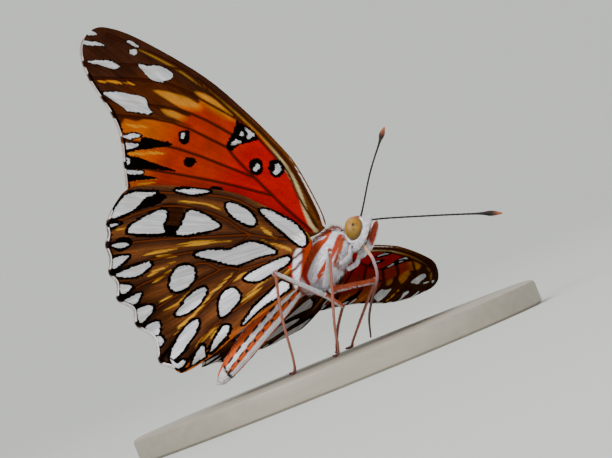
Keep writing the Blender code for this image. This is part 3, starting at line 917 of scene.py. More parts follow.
@dataclass
class Wing:
    """One wing: a thin folded membrane with pleats along its veins, and a fringe of edge scales."""

    plan: WingPlan
    side: Side
    thick: float = 0.24
    cut: float = 0.17
    edge_steps: int = 6
    bow_span: float = 40.0
    lean: tuple[float, float] = (-0.31, -0.41)
    fold_start: float = 2.0
    fold_run: float = 7.0
    pleat: float = 0.09
    streak_half: float = 0.19
    # The dark rim outside the front edge's pale line, and how far a vein breaks the outer edge's
    pale_rim: float = 0.13
    pale_break: float = 0.42
    scale_length: float = 0.3
    scale_width: float = 0.1
    # Where the rays start, and how far their map goes for a radian and for a millimetre out
    ray_root: tuple[float, float] = (3.0, -1.0)
    ray_scale: tuple[float, float] = (60.0, 0.14)
    # The stretch of the outline's points that is the front margin
    front: tuple[int, int] = (1, 9)
    # The red and orange part of the forewing, and the ochre patches on its edge
    flame: Points = (
        (-0.2, 0.6), (0.25, 3.2), (1.0, 5.4), (1.65, 7.9), (2.0, 12.3), (1.9, 15.5), (1.5, 17.9), (0.6, 20.2),
        (-0.6, 23.0), (-1.3, 22.4), (-3.0, 25.3), (-4.3, 26.7), (-3.5, 23.8), (-2.8, 22.0), (-3.3, 21.8),
        (-4.6, 23.9), (-5.3, 24.2), (-4.5, 22.1), (-3.6, 20.2), (-4.7, 21.8), (-7.0, 24.3), (-8.6, 24.9),
        (-10.3, 25.6), (-16.0, 17.3), (-9.3, 11.5), (-5.4, 8.7), (-2.5, 2.7),
    )
    ochre: Sequence[Points] = (
        ((-0.8, 24.0), (0.2, 23.0), (1.0, 20.7), (1.2, 18.3), (0.3, 19.3), (-0.5, 21.5)),
        ((-4.6, 27.1), (-3.0, 25.6), (-1.6, 23.6), (-1.4, 21.9), (-3.2, 23.4), (-4.1, 25.1)),
        ((-5.3, 24.6), (-4.4, 23.9), (-3.7, 22.2), (-4.4, 22.2), (-5.3, 23.4)),
    )
    # The pale line just inside the forewing's front edge
    khaki: Points = (
        (-2.5, 32.2), (-0.9, 28.5), (0.1, 25.4), (1.0, 22.4), (1.5, 19.5), (2.0, 16.0), (2.15, 13.0),
        (2.0, 10.0), (1.7, 7.5), (1.1, 5.4), (0.3, 3.2), (-0.1, 1.9), (-0.2, 0.6),
    )
    # Tones over the hindwing's brown: a dark bar, then rust, white and red where its base lies on the chest
    brown_tones: Sequence[tuple[Points, str]] = (
        (((-12.6, 14.3), (-11.0, 12.6), (-13.0, 10.6), (-14.9, 11.2), (-14.0, 12.4)), "2E1508"),
        (
            ((-3.1, -0.5), (-1.2, -0.2), (-2.0, -1.6), (-4.2, -3.0), (-6.6, -4.7), (-5.5, -3.3),
             (-4.3, -2.0)),
            "8A2C08",
        ),
        (
            ((-3.6, -0.2), (-3.1, -0.5), (-4.3, -2.0), (-5.5, -3.3), (-6.6, -4.7), (-6.7, -4.0), (-5.6, -2.2),
             (-4.5, -0.9)),
            "DAD8DE",
        ),
        (((-4.2, -0.5), (-5.1, -1.1), (-5.7, -2.2), (-6.2, -3.2), (-6.0, -2.2), (-5.4, -1.0)), "B41A10"),
    )

    @property
    def name(self) -> str:
        """The name of the wing's node."""
        return f"{self.plan.name}_{self.side.word}"

    def middle(self, spots: np.ndarray) -> np.ndarray:
        """Where points of the wing's plane lie in the animal's frame.

        Args:
            spots: (p, q) rows.

        Returns:
            (x, y, z) rows.
        """
        held = SETS[self.plan.name, self.side]
        p = spots[:, 0] * cos(held.sweep) + spots[:, 1] * sin(held.sweep)
        q = spots[:, 1] * cos(held.sweep) - spots[:, 0] * sin(held.sweep)
        height = held.bow * np.sin(pi * q.clip(0) / self.bow_span) - held.drop
        raised = height - p * sin(held.twist)
        p, q = p * cos(held.twist) + self.lean[0] * height, q + self.lean[1] * height
        out = STANCE.hinge_half + q * cos(held.dihedral) - raised * sin(held.dihedral)
        rise = q * sin(held.dihedral) + raised * cos(held.dihedral)
        fold = fade(self.fold_start - spots[:, 1], 0, self.fold_run)[:, None] * np.array(held.fold)
        return self.side.mirror(np.column_stack([p, out, rise]) + fold)

    def normal(self, spots: np.ndarray, step: float = 0.05) -> np.ndarray:
        """The upper side's normal at points of the wing's plane.

        Args:
            spots: (p, q) rows.
            step: how far to each side it looks.

        Returns:
            Unit (x, y, z) rows.
        """
        along = self.middle(spots + [step, 0]) - self.middle(spots - [step, 0])
        across = self.middle(spots + [0, step]) - self.middle(spots - [0, step])
        return unit(self.side.value * np.cross(along, across))

    def sheet(self) -> bmesh.types.BMesh:
        """A flat slab with the wing's outline, cut into small squares.

        Returns:
            The slab, with z +1 above and -1 below, and the second finish above.
        """
        slab = bmesh.new()
        edge = smooth_curve(self.plan.margin, self.edge_steps, closed=True)
        slab.faces.new([slab.verts.new((p, q, -1)) for p, q in edge])
        for axis, way in enumerate((Vector((1, 0, 0)), Vector((0, 1, 0)))):
            low, high = edge[:, axis].min(), edge[:, axis].max()
            for count in range(1, int((high - low) / self.cut) + 1):
                geom, spot = slab.verts[:] + slab.edges[:] + slab.faces[:], way * (low + count * self.cut)
                bmesh.ops.bisect_plane(slab, geom=geom, dist=1e-5, plane_co=spot, plane_no=way)
        raised = bmesh.ops.extrude_face_region(slab, geom=slab.faces[:], use_keep_orig=True)
        tops = [item for item in raised["geom"] if isinstance(item, bmesh.types.BMVert)]
        bmesh.ops.translate(slab, verts=tops, vec=(0, 0, 2))
        bmesh.ops.recalc_face_normals(slab, faces=slab.faces[:])
        for face in slab.faces:
            face.material_index = 1 if sum(vert.co.z for vert in face.verts) > 0 else 0
            face.smooth = True
        return slab

    def build(self) -> None:
        """Builds, marks and places the membrane."""
        plan = self.plan
        mesh = finished_mesh(self.sheet(), f"{self.name}_membrane")
        flat = places(mesh)
        spots = flat[:, :2]
        edge = smooth_curve(plan.margin, self.edge_steps, closed=True)
        margin = line_distance(spots, np.vstack([edge, edge[:1]]))
        front = line_distance(spots, smooth_curve(plan.margin[slice(*self.front)], self.edge_steps))
        gaps = WingGaps(spots, margin, front, nearest_line(spots, plan.veins))
        for prefix, markings in (("", self.mark_under(gaps)), (WING_UPPER.prefix, self.mark_upper(gaps))):
            for name, values in markings.items():
                store(mesh, prefix + name, values)
        reach = spots - np.array(self.ray_root)
        rays = np.column_stack([np.arctan2(reach[:, 1], -reach[:, 0]), np.hypot(*reach.T)]) * self.ray_scale
        lay_map(mesh, "WingPlane", spots / MAP_UNIT)
        lay_map(mesh, "WingRays", rays / MAP_UNIT)
        # The membrane thins to a third at its edge, and folds up between veins and down at them
        ridge = self.pleat * (within(gaps.veins, 0.0, 1.0) - 0.5)
        height = 0.5 * self.thick * np.sign(flat[:, 2]) * (0.35 + 0.65 * fade(margin, 0, 1.0)) - ridge
        move_to(mesh, self.middle(spots) + self.normal(spots) * height[:, None])
        if self.side is Side.LEFT:
            mesh.flip_normals()
        add_piece(mesh, [self.name], plan.name, plan.finish)
        mesh.materials.append(WING_UPPER.material())

    def mark_under(self, gaps: WingGaps) -> dict[str, np.ndarray]:
        """The underside's markings: silver patches ringed in black, on brown and red.

        Args:
            gaps: places on the wing, and their distances.

        Returns:
            Distances, hatching and ground colours by the name that the finish reads.
        """
        plan, (p, q) = self.plan, gaps.spots.T
        silver = nearest_patch(gaps.spots, plan.silver)
        black = nearest_patch(gaps.spots, plan.black)
        if plan.hind:
            ground, hatch = self.hindwing_ground(gaps)
            # Veins end in black wedges on the outer edge
            wedge = 0.4 * fade(-p, 19, 24.5) - 0.15
            black = np.min([black, silver - plan.rim, gaps.veins - wedge], axis=0)
        else:
            ground, hatch = self.forewing_ground(gaps)
            # The rings round the silver are thinner near the tip
            black = np.minimum(black, silver - plan.rim * (1 - 0.6 * fade(q, 25, 28)))
        start, inset, half = plan.edge_line
        line = np.where(p < start, np.abs(gaps.margin - inset) - half, FAR)
        streaks = [streak_distance(gaps.spots, streak, self.streak_half) for streak in plan.streaks]
        return {
            "pale_edge": self.pale_edge(gaps),
            "hatch": hatch,
            "silver": silver,
            "black": np.minimum(black, line),
            "vein": gaps.veins,
            "streak": np.min(streaks, axis=0),
            "ground": ground,
        }

    def mark_upper(self, gaps: WingGaps) -> dict[str, np.ndarray]:
        """The upper side's markings: orange, with black spots, veins and border.

        Args:
            gaps: places on the wing, and their distances.

        Returns:
            Distances, hatching and ground colours by the name that the finish reads.
        """
        plan, (p, q), margin, veins = self.plan, gaps.spots.T, gaps.margin, gaps.veins
        # Black veins widen towards the outer edge, where the hindwing has a border of two lines
        outer = fade(-p if plan.hind else q - 0.6 * p, 14, 26)
        black = np.minimum(nearest_patch(gaps.spots, plan.upper_black), veins - 0.1 - 0.35 * outer)
        tones = [("8E2E0A", 0.7 * within(np.hypot(p, q), 2, 12))]
        if plan.hind:
            lines = np.minimum(margin - 0.35, np.abs(margin - 1.9) - 0.35)
            border = np.where((p < -14) & (q > -3.5), lines, FAR)
            black = np.min([black, border, veins - 0.3 - 0.5 * (margin < 2.2) * outer], axis=0)
            tones.append(("8A5230", 0.8 * within(q, -4.5, -1.5)))
        else:
            black = np.minimum(black, np.where(p < -3, margin - 0.3, gaps.front - 0.25))
        nowhere = np.full(len(p), FAR)
        return {
            "pale_edge": nowhere,
            "silver": nearest_patch(gaps.spots, plan.silver[plan.upper_white]),
            "black": black,
            "vein": veins,
            "streak": nowhere,
            "hatch": np.full(len(p), 0.3),
            "ground": layered("C44204", len(p), tones),
        }

    def forewing_ground(self, gaps: WingGaps) -> tuple[np.ndarray, np.ndarray]:
        """The underside's ground colours of the forewing: red to orange within, brown without.

        Args:
            gaps: places on the wing, and their distances.

        Returns:
            Linear colours, and how strongly each row is hatched by fine rays.
        """
        spots, (p, q) = gaps.spots, gaps.spots.T
        flame = within(patch_distance(spots, smooth_curve(self.flame, 3, closed=True)), -0.12, 0.12)
        ochre = nearest_patch(spots, self.ochre, 3)
        khaki = nearest_line(spots, [self.khaki])
        warm = [
            ("9A2402", fade(q - 0.55 * (p + 3), 11.5, 17)),
            ("AE5204", fade(q - 0.6 * p, 23, 29)),
            ("B45E10", within(ochre, -0.2, 0.8)),
        ]
        tones = [
            ("47200B", fade(q, 20, 26) * fade(gaps.front, 1.5, 3.0) * within(q, 28, 31)),
            ("643614", 0.8 * within(q, 10, 22)),
            (layered("AA0502", len(p), warm), flame),
            ("B27222", within(ochre, -0.3, 0.05)),
            ("8E6422", within(khaki, 0.08, 0.26) * fade(q, 8, 14)),
            ("C3AF7C", within(khaki, 0.16, 0.34) * within(q, 9, 14)),
        ]
        return layered("361B10", len(p), tones), 0.8 * np.maximum(1 - flame, 0.35)

    def hindwing_ground(self, gaps: WingGaps) -> tuple[np.ndarray, np.ndarray]:
        """The underside's ground colours of the hindwing: brown, warmer midway between two veins.

        Args:
            gaps: places on the wing, and their distances.

        Returns:
            Linear colours, and how strongly each row is hatched by fine rays.
        """
        p, q = gaps.spots.T
        tones = [
            ("70401F", 0.8 * fade(gaps.veins, 0.3, 1.4)),
            ("1A0B05", 0.7 * fade(-p, 18, 23)),
            ("9A6424", 0.5 * within(np.hypot(p + 2.0, q + 0.1), 0.3, 2.0)),
            ("B45A22", 0.85 * within(q + 4.9, 0.25, 0.8) * (p < -7)),
        ]
        for outline, colour in self.brown_tones:
            tones.append((colour, within(nearest_patch(gaps.spots, [outline], 3), -0.05, 0.1)))
        return layered("402416", len(p), tones), np.full(len(p), 0.95)

    def pale_edge(self, gaps: WingGaps) -> np.ndarray:
        """How far each place lies from the pale line on the wing's edge.

        Args:
            gaps: places on the wing, and their distances.

        Returns:
            One distance for each, negative in the line.
        """
        q, rim = gaps.spots[:, 1], self.pale_rim
        there = self.fringed(gaps.spots) & (gaps.veins > self.pale_break)
        outer = np.where(there, gaps.margin - self.plan.pale_line, FAR)
        if self.plan.hind:
            return outer
        # The front edge's line is broad near the hinge
        inner = 0.43 - 0.014 * q - 0.3 * fade(q, 7, 14)
        return np.minimum(outer, np.abs(gaps.front - 0.5 * (inner + rim)) - 0.5 * (inner - rim))

    def fringed(self, spots: np.ndarray) -> np.ndarray:
        """True where the nearest edge is the outer one, which has the fringe."""
        p_below, q_above = self.plan.fringed
        return (spots[:, 0] < p_below) & (spots[:, 1] > q_above)

    def fringe(self) -> "TuftBed":
        """The short scales that stand out along the outer edge.

        Returns:
            Tufts for the coat to make.
        """
        edge = smooth_curve(self.plan.margin, 40, closed=True)
        ahead = np.roll(edge, -1, axis=0) - edge
        outward = unit(np.column_stack([ahead[:, 1], -ahead[:, 0]]))
        if patch_distance(edge[:1] + 0.3 * outward[:1], edge)[0] < 0:
            outward = -outward
        keep = (np.linalg.norm(ahead, axis=1) > 1e-6) & self.fringed(edge)
        spots, outward = edge[keep], outward[keep]
        inner, count = spots - 0.06 * outward, len(spots)
        veins = nearest_line(spots, self.plan.veins)
        return TuftBed(
            roots=self.middle(inner),
            ways=self.middle(spots + 0.3 * outward) - self.middle(spots),
            normals=self.normal(inner),
            lengths=np.full(count, self.scale_length),
            widths=np.full(count, self.scale_width),
            tones=layered(self.plan.fringe_tone, count, [("2A120A", within(veins, 0.3, 0.6))]),
            spots=(inner - edge.min(axis=0)) / np.ptp(edge, axis=0).max(),
        )


# Coat


@dataclass
class TuftBed:
    """Where tufts grow, how they lie and what colour they are, one row each."""

    roots: np.ndarray
    ways: np.ndarray
    normals: np.ndarray
    lengths: np.ndarray
    widths: np.ndarray
    tones: np.ndarray
    spots: np.ndarray

    def join(self, *others: "TuftBed") -> "TuftBed":
        """Joins other beds to this one.

        Args:
            others: the other beds, if any.

        Returns:
            One bed; each keeps its own strip of the map.
        """
        if not others:
            return self
        beds = (self, *others)
        strips = []
        for index, bed in enumerate(beds):
            strips.append(np.column_stack([bed.spots[:, 0], (bed.spots[:, 1] * 0.98 + index) / len(beds)]))
        keys = ("roots", "ways", "normals", "lengths", "widths", "tones")
        rows = [np.concatenate([getattr(bed, key) for bed in beds]) for key in keys]
        return TuftBed(*rows, np.concatenate(strips))


@dataclass
class Coat:
    """Joined tufts: each a thin three-sided spike, bent once, with its own small patch on the map."""

    name: str
    bed: TuftBed
    slot: str
    # The share of the map that a tuft's patch takes, and how much tufts differ in brightness
    patch: float = 0.003
    uneven: float = 0.12
    seed: int = 3
    # Where a tuft's corners lie on its patch: three at the root, three at the bend, and the tip
    shape: Points = ((0, 0), (1, 0), (0.5, 0.3), (0, 0.5), (1, 0.5), (0.5, 0.7), (0.5, 1))
    faces: Sequence[tuple[int, ...]] = (
        (0, 2, 1), (0, 1, 4, 3), (1, 2, 5, 4), (2, 0, 3, 5), (3, 4, 6), (4, 5, 6), (5, 3, 6),
    )

    def points(self) -> np.ndarray:
        """Every tuft's corners, in the animal's frame.

        Returns:
            (x, y, z) rows, with those of one tuft together.
        """
        bed = self.bed
        way, normal = unit(bed.ways), unit(bed.normals)
        across = unit(np.cross(normal, way))
        lift = np.cross(way, across)
        length, width = bed.lengths[:, None], bed.widths[:, None]
        # At the root and at the bend: how far along it is, and its share of the width to each side
        corners = []
        for reach, size in ((0.0, 0.5), (0.5, 0.42)):
            centre = bed.roots + way * length * reach
            corners.append(centre - across * width * size)
            corners.append(centre + across * width * size)
            corners.append(centre + lift * width * size * 0.8)
        tip = bed.roots + way * length - normal * length * 0.12
        return np.stack([*corners, tip], axis=1).reshape(-1, 3)

    def build(self) -> None:
        """Makes every tuft of the bed in one mesh, each with its patch on the unwrapped skin."""
        bed, count, each = self.bed, len(self.bed.roots), len(self.shape)
        starts = range(0, count * each, each)
        faces = [[start + index for index in row] for start in starts for row in self.faces]
        mesh = bpy.data.meshes.new(self.name)
        mesh.from_pydata(STANCE.to_world(self.points()), [], faces)
        light = np.random.default_rng(self.seed).normal(1.0, self.uneven, count).clip(0.6, 1.4)
        tones = bed.tones * np.column_stack([light, light, light, np.ones(count)])
        store(mesh, "coat", np.repeat(tones, each, axis=0))
        shape = (np.array(self.shape) - 0.5) * self.patch
        lay_map(mesh, "OFBake", (bed.spots[:, None, :] * 0.99 + 0.005 + shape[None]).reshape(-1, 2))
        mesh.shade_smooth()
        add_piece(mesh, [], self.slot, HAIR)


# Body


@dataclass(frozen=True)
class Growth:
    """How tufts grow over a form: how many, their mean length and width at the root, how far they
    stand off it from 0 to 1, and the seed of their places. They lie towards the line's end, or its
    start if back is False. Spans is the stretch of the line that they cover, turns the share of the
    way round from the top, and unruly says how much their ways differ."""

    count: int
    length: float
    width: float
    lift: float
    seed: int
    back: bool = True
    spans: tuple[float, float] = (0.0, 1.0)
    turns: tuple[float, float] = (0.0, 1.0)
    unruly: float = 0.15
    # How deep the roots are in the skin, and how much lengths differ
    depth: float = 0.03
    uneven: float = 0.2


class Markings:
    """Colours by place in the animal's frame, the same for skin and hair."""

    def colours(self, points: np.ndarray) -> np.ndarray:
        """Linear colours, one row for each (x, y, z) row."""
        raise NotImplementedError


def wrapped_grid(
    rows: int,
    turns: int,
    place: Callable[[np.ndarray, np.ndarray], np.ndarray],
    tone: Callable[[np.ndarray, np.ndarray], np.ndarray] | None = None,
) -> bmesh.types.BMesh:
    """Wraps a grid into a closed form.

    Args:
        rows: pieces along it.
        turns: pieces round it.
        place: gives (x, y, z) rows for shares of the way along it and angles round it.
        tone: gives linear colours for the same.

    Returns:
        The worked mesh.
    """
    made = bmesh.new()
    bmesh.ops.create_grid(made, x_segments=rows, y_segments=turns, size=0.5)
    spots = np.array([vert.co for vert in made.verts]) + 0.5
    run, turn = spots[:, 0], spots[:, 1] * 2 * pi
    for vert, point in zip(made.verts, place(run, turn)):
        vert.co = point
    if tone:
        layer = made.verts.layers.float_color.new("coat")
        for vert, colour in zip(made.verts, tone(run, turn)):
            vert[layer] = colour
    bmesh.ops.remove_doubles(made, verts=made.verts[:], dist=1e-4)
    bmesh.ops.holes_fill(made, edges=made.edges[:], sides=0)
    bmesh.ops.recalc_face_normals(made, faces=made.faces[:])
    return made


@dataclass(frozen=True)
class BodyForm:
    """A rounded form along a line, with half sizes across and up at each of its points."""

    line: Points
    across: Sequence[float]
    up: Sequence[float]
    kind: Form = Form.BAR
    shrink: float = 0.0

    def curve(self, steps: int = 12) -> tuple[np.ndarray, np.ndarray]:
        """The line and its half sizes, smoothed together.

        Args:
            steps: pieces between two given points.

        Returns:
            Places, and half sizes across and up.
        """
        rows = [(*point, a, b) for point, a, b in zip(self.line, self.across, self.up)]
        curve = smooth_curve(rows, steps)
        return curve[:, :3], (curve[:, 3:5] - self.shrink).clip(0.02)

    def surface(self, run: np.ndarray, turn: np.ndarray, grow: float = 0.0) -> np.ndarray:
        """Points on the surface.

        Args:
            run: place along the line, from 0 to 1.
            turn: angle round it, 0 at the top.
            grow: how far outside the surface.

        Returns:
            (x, y, z) rows.
        """
        line, halves = self.curve()
        grid = np.linspace(0, 1, len(line))
        centre = np.column_stack([np.interp(run, grid, column) for column in line.T])
        half = np.column_stack([np.interp(run, grid, column) for column in halves.T]) + grow
        if self.kind is Form.TRUNK:
            side = np.tile([0.0, 1.0, 0.0], (len(run), 1))
            up = np.tile([0.0, 0.0, 1.0], (len(run), 1))
        else:
            ways = np.gradient(line, axis=0)
            way = unit(np.column_stack([np.interp(run, grid, column) for column in ways.T]))
            guide = np.array([0.0, 1.0, 0.0]) if abs(way[:, 1]).max() < 0.8 else np.array([0.0, 0.0, 1.0])
            side = unit(np.cross(np.cross(way, guide), way))
            up = np.cross(way, side)
        half = half * np.column_stack([np.sin(turn), np.cos(turn)])
        return centre + side * half[:, :1] + up * half[:, 1:]

    def frame_at(self, run: np.ndarray, turn: np.ndarray) -> tuple[np.ndarray, np.ndarray, np.ndarray]:
        """How the surface lies at places on it.

        Args:
            run: place along the line, from 0 to 1.
            turn: angle round it, 0 at the top.

        Returns:
            Points, outward normals and the ways along the form.
        """
        step = 0.01
        low, high = (run - step).clip(0, 1), (run + step).clip(0, 1)
        point = self.surface(run, turn)
        along = self.surface(high, turn) - self.surface(low, turn)
        round_it = self.surface(run, turn + step) - self.surface(run, turn - step)
        normal = unit(np.cross(along, round_it))
        outward = point - self.surface(run, turn, grow=-0.3)
        normal *= np.sign((normal * outward).sum(axis=1))[:, None]
        return point, normal, unit(along)

    def bed(self, growth: Growth, markings: Markings) -> TuftBed:
        """Tufts spread evenly over the form.

        Args:
            growth: how they grow.
            markings: gives their colours.

        Returns:
            The bed.
        """
        chance, count = np.random.default_rng(growth.seed), growth.count
        run = growth.spans[0] + (growth.spans[1] - growth.spans[0]) * chance.random(count)
        turn = 2 * pi * (growth.turns[0] + (growth.turns[1] - growth.turns[0]) * chance.random(count))
        point, normal, along = self.frame_at(run, turn)
        lift = growth.lift + 0.5 * growth.unruly * chance.normal(size=count)
        way = (1 if growth.back else -1) * along + normal * lift[:, None]
        way += growth.unruly * chance.normal(size=(count, 3))
        lengths = growth.length * chance.normal(1.0, growth.uneven, count).clip(0.5, 1.5)
        tones = markings.colours(point + 0.5 * lengths[:, None] * unit(way))
        spots = np.column_stack([turn / (2 * pi) % 1.0, run])
        widths = np.full(count, growth.width)
        return TuftBed(point - growth.depth * normal, way, normal, lengths, widths, tones, spots)


@dataclass(frozen=True)
class BodyMarkings(Markings):
    """The body's bands of colour."""

    # Each band of the chest: its middle line (x, z), half width and colour
    bands: Sequence[tuple[Points, float, str]] = (
        (((2.4, 0.2), (1.2, -1.7), (-0.2, -2.6), (-1.5, -3.4), (-3.0, -4.3), (-4.1, -4.9)), 0.72, "E2E0E8"),
        (((1.9, -2.1), (1.1, -2.9), (0.3, -3.65), (-0.7, -4.35), (-2.2, -5.0)), 0.3, "E2E0E8"),
        (((2.0, -1.3), (1.2, -2.5), (0.3, -3.3), (-0.8, -4.05), (-2.4, -4.9)), 0.26, "A83408"),
        (((2.1, -1.9), (1.4, -2.9), (0.7, -3.65), (-0.1, -4.5)), 0.2, "A4440E"),
        (((-3.3, -2.6), (-3.9, -3.6), (-4.15, -4.9)), 0.3, "CC1A0C"),
        (((-4.75, -1.2), (-4.9, -2.7), (-4.8, -4.6)), 0.42, "E2E0E8"),
        (((0.2, -0.6), (-0.9, -0.4), (-2.2, -0.7)), 0.2, "DAD8E0"),
    )
    white: str = "E0DEE4"
    black: str = "0D0705"
    # The middle of the abdomen: z at each x behind the hinges
    axis_x: Sequence[float] = (5.5, 8.5, 11.5, 14.5, 17.0, 19.5)
    axis_z: Sequence[float] = (-3.3, -4.2, -5.3, -6.6, -7.8, -9.1)
    segment: float = 1.45

    def colours(self, points: np.ndarray) -> np.ndarray:
        """The colour at places in the animal's frame.

        Args:
            points: (x, y, z) rows.

        Returns:
            Linear colours, one row each.
        """
        x, y, z = points[:, 0], np.abs(points[:, 1]), points[:, 2]
        regions = [
            (self.abdomen(x, y, z), within(x, -5.9, -5.3)),
            (self.thorax(x, z), fade(x, -5.9, -5.3) * within(x, 2.2, 2.5)),
            (self.head(x, y, z), fade(x, 2.2, 2.5)),
        ]
        return layered("A8441A", len(x), regions)

    def thorax(self, x: np.ndarray, z: np.ndarray) -> np.ndarray:
        """Slanting white and rust bands down each side, grey-white below, rust hair above.

        Args:
            x: how far forward.
            z: how far up.

        Returns:
            Linear colours, one row each.
        """
        side = np.column_stack([x, z])
        tones = [("D9D7DF", within(0.79 * z - 0.61 * x, -3.15, -2.95))]
        for line, half, colour in self.bands:
            tones.append((colour, within(line_distance(side, smooth_curve(line, 4)), half - 0.1, half + 0.1)))
        tones += [("C9C8CE", within(z, -5.5, -5.0)), ("7E2E10", fade(z, -0.5, 0.1))]
        return layered("B4400E", len(x), tones)

    def abdomen(self, x: np.ndarray, y: np.ndarray, z: np.ndarray) -> np.ndarray:
        """Orange above, a white stripe along each side below black dashes, an orange stripe with
        black dots under it, white below.

        Args:
            x: how far forward.
            y: how far to either side.
            z: how far up.

        Returns:
            Linear colours, one row each.
        """
        axis = np.interp(-x, self.axis_x, self.axis_z)
        # Degrees round it from the back, and how far from the middle of a segment, up to 0.5
        turn = np.degrees(np.arctan2(y / 1.4, (z - axis) / 1.7))
        ring = np.abs((x / self.segment) % 1.0 - 0.5)
        dash = within(np.abs(turn - 109), 4, 8) * within(ring, 0.28, 0.36)
        edge = within(np.abs(turn - 137), 2, 5) * within(ring, 0.2, 0.3)
        dot = within(np.hypot((turn - 148) / 9, (ring - 0.5) / 0.14), 0.8, 1.2)
        back = within(turn, 7, 12) + within(np.hypot((turn - 62) / 12, ring / 0.16), 0.8, 1.2)
        tip = fade(turn, 84, 94)
        tones = [
            (self.white, within(np.abs(turn - 123), 10, 14)),
            (self.white, fade(turn, 159, 164)),
            (self.white, 0.7 * fade(ring, 0.4, 0.47) * within(np.abs(turn - 150), 9, 13)),
            (self.black, np.max([dash, edge, dot, 0.9 * back], axis=0).clip(0, 1)),
            ("D6D3D6", within(x, -18.0, -17.8) * tip),
            (self.black, within(np.abs(x + 17.8), 0.08, 0.2) * tip),
        ]
        return layered("CC5206", len(x), tones)

    def head(self, x: np.ndarray, y: np.ndarray, z: np.ndarray) -> np.ndarray:
        """White cheeks and palps, each palp with a rust stripe down its inner face, rust crown."""
        crown, stripe = fade(z, -0.9, -0.4) * within(x, 5.0, 5.3), within(y, 0.7, 0.85) * fade(x, 4.2, 4.8)
        return layered("DEDCE2", len(x), [("8E300E", crown), ("9E3410", stripe)])


@dataclass(frozen=True)
class OneTone(Markings):
    """One colour for a kind of scale or bristle on a leg."""

    tone: str

    def colours(self, points: np.ndarray) -> np.ndarray:
        """The same colour at every place."""
        return layered(self.tone, len(points))


@dataclass
class Eye:
    """One compound eye: an egg-shaped dome with a darker false pupil, and scales round it."""

    side: Side
    centre: tuple[float, float, float] = (3.82, 0.98, -1.33)
    size: tuple[float, float, float] = (1.08, 1.34, 1.5)
    tilt: float = radians(-20)
    pupil: float = 0.14
    # Each dark spot's strength, and how far it is beside the one that faces the camera, along x and z
    pupils: Sequence[tuple[float, tuple[float, float]]] = (
        (1.0, (0.06, 0.48)), (0.35, (0.5, 0.6)), (0.35, (-0.3, 0.72)), (0.35, (0.1, 0.06)),
    )
    segments: int = 80
    rows: int = 56
    rim_count: int = 800
    rim_length: float = 0.34
    rim_width: float = 0.07

    def build(self) -> None:
        """Makes and colours the eye."""
        made = bmesh.new()
        bmesh.ops.create_uvsphere(made, u_segments=self.segments, v_segments=self.rows, radius=1)
        mesh = finished_mesh(made, f"eye_{self.side.word}_dome")
        ball = places(mesh)
        tones = [("A66414", fade(ball[:, 2], 0.2, 0.9)), ("886A20", within(ball[:, 2], -0.9, -0.1))]
        for share, beside in self.pupils:
            gap = np.linalg.norm(ball - self.facing(beside), axis=1)
            tones.append(("1C0C03", share * within(gap, 0.6 * self.pupil, 1.5 * self.pupil)))
        tones.append(("5A3A14", 0.5 * within(ball[:, 1], 0.1, 0.5)))
        store(mesh, "coat", layered("A67416", len(ball), tones))
        move_to(mesh, self.place(ball))
        if self.side is Side.RIGHT:
            mesh.flip_normals()
        mesh.shade_smooth()
        add_piece(mesh, [f"eye_{self.side.word}"], "eye", EYE)

    def place(self, ball: np.ndarray) -> np.ndarray:
        """Where the eye has points of the unit ball.

        Args:
            ball: the ball's points.

        Returns:
            (x, y, z) rows in the animal's frame.
        """
        sized = ball * np.array(self.size)
        x = sized[:, 0] * cos(self.tilt) - sized[:, 2] * sin(self.tilt)
        z = sized[:, 0] * sin(self.tilt) + sized[:, 2] * cos(self.tilt)
        return self.side.mirror(np.column_stack([x, sized[:, 1], z]) + np.array(self.centre))

    def facing(self, beside: tuple[float, float]) -> np.ndarray:
        """The spot of the unit ball that faces the photograph's camera, as false pupils do.

        Args:
            beside: how far beside that spot, along x and z.

        Returns:
            A point of the unit ball.
        """
        x, y, z = STANCE.from_world(np.array([0.0, -1.0, 0.0]))
        turn = self.tilt
        seen = np.array([x * cos(turn) + z * sin(turn), abs(y), z * cos(turn) - x * sin(turn)])
        spot = seen * np.array(self.size)
        spot = spot / np.linalg.norm(spot) + np.array([beside[0], 0, beside[1]])
        return spot / np.linalg.norm(spot)

    def rim(self) -> TuftBed:
        """The scales that stand round the eye: white, and rust above it.

        Returns:
            The bed.
        """
        chance, count = np.random.default_rng(30 + self.side.value), self.rim_count
        turn = 2 * pi * chance.random(count)
        ring = np.column_stack([np.sin(turn), np.zeros(count), np.cos(turn)])
        inner = ring * (0.98 + 0.1 * chance.random((count, 1))) + np.array([0, -0.12, 0])
        roots = self.place(inner)
        ways = self.place(inner + 0.3 * ring + 0.1 * chance.normal(size=(count, 3)) * ring) - roots
        rust = fade(ring[:, 2] - 0.3 * ring[:, 0], 0.6, 0.85)
        return TuftBed(
            roots=roots,
            ways=ways,
            normals=np.tile([0.0, self.side.value, 0.0], (count, 1)),
            lengths=self.rim_length * chance.normal(1.0, 0.2, count).clip(0.6, 1.4),
            widths=np.full(count, self.rim_width),
            tones=layered("E4E1E6", count, [("9A3A12", rust)]),
            spots=np.column_stack([turn / (2 * pi), inner[:, 0] * 0.4 + 0.5]),
        )


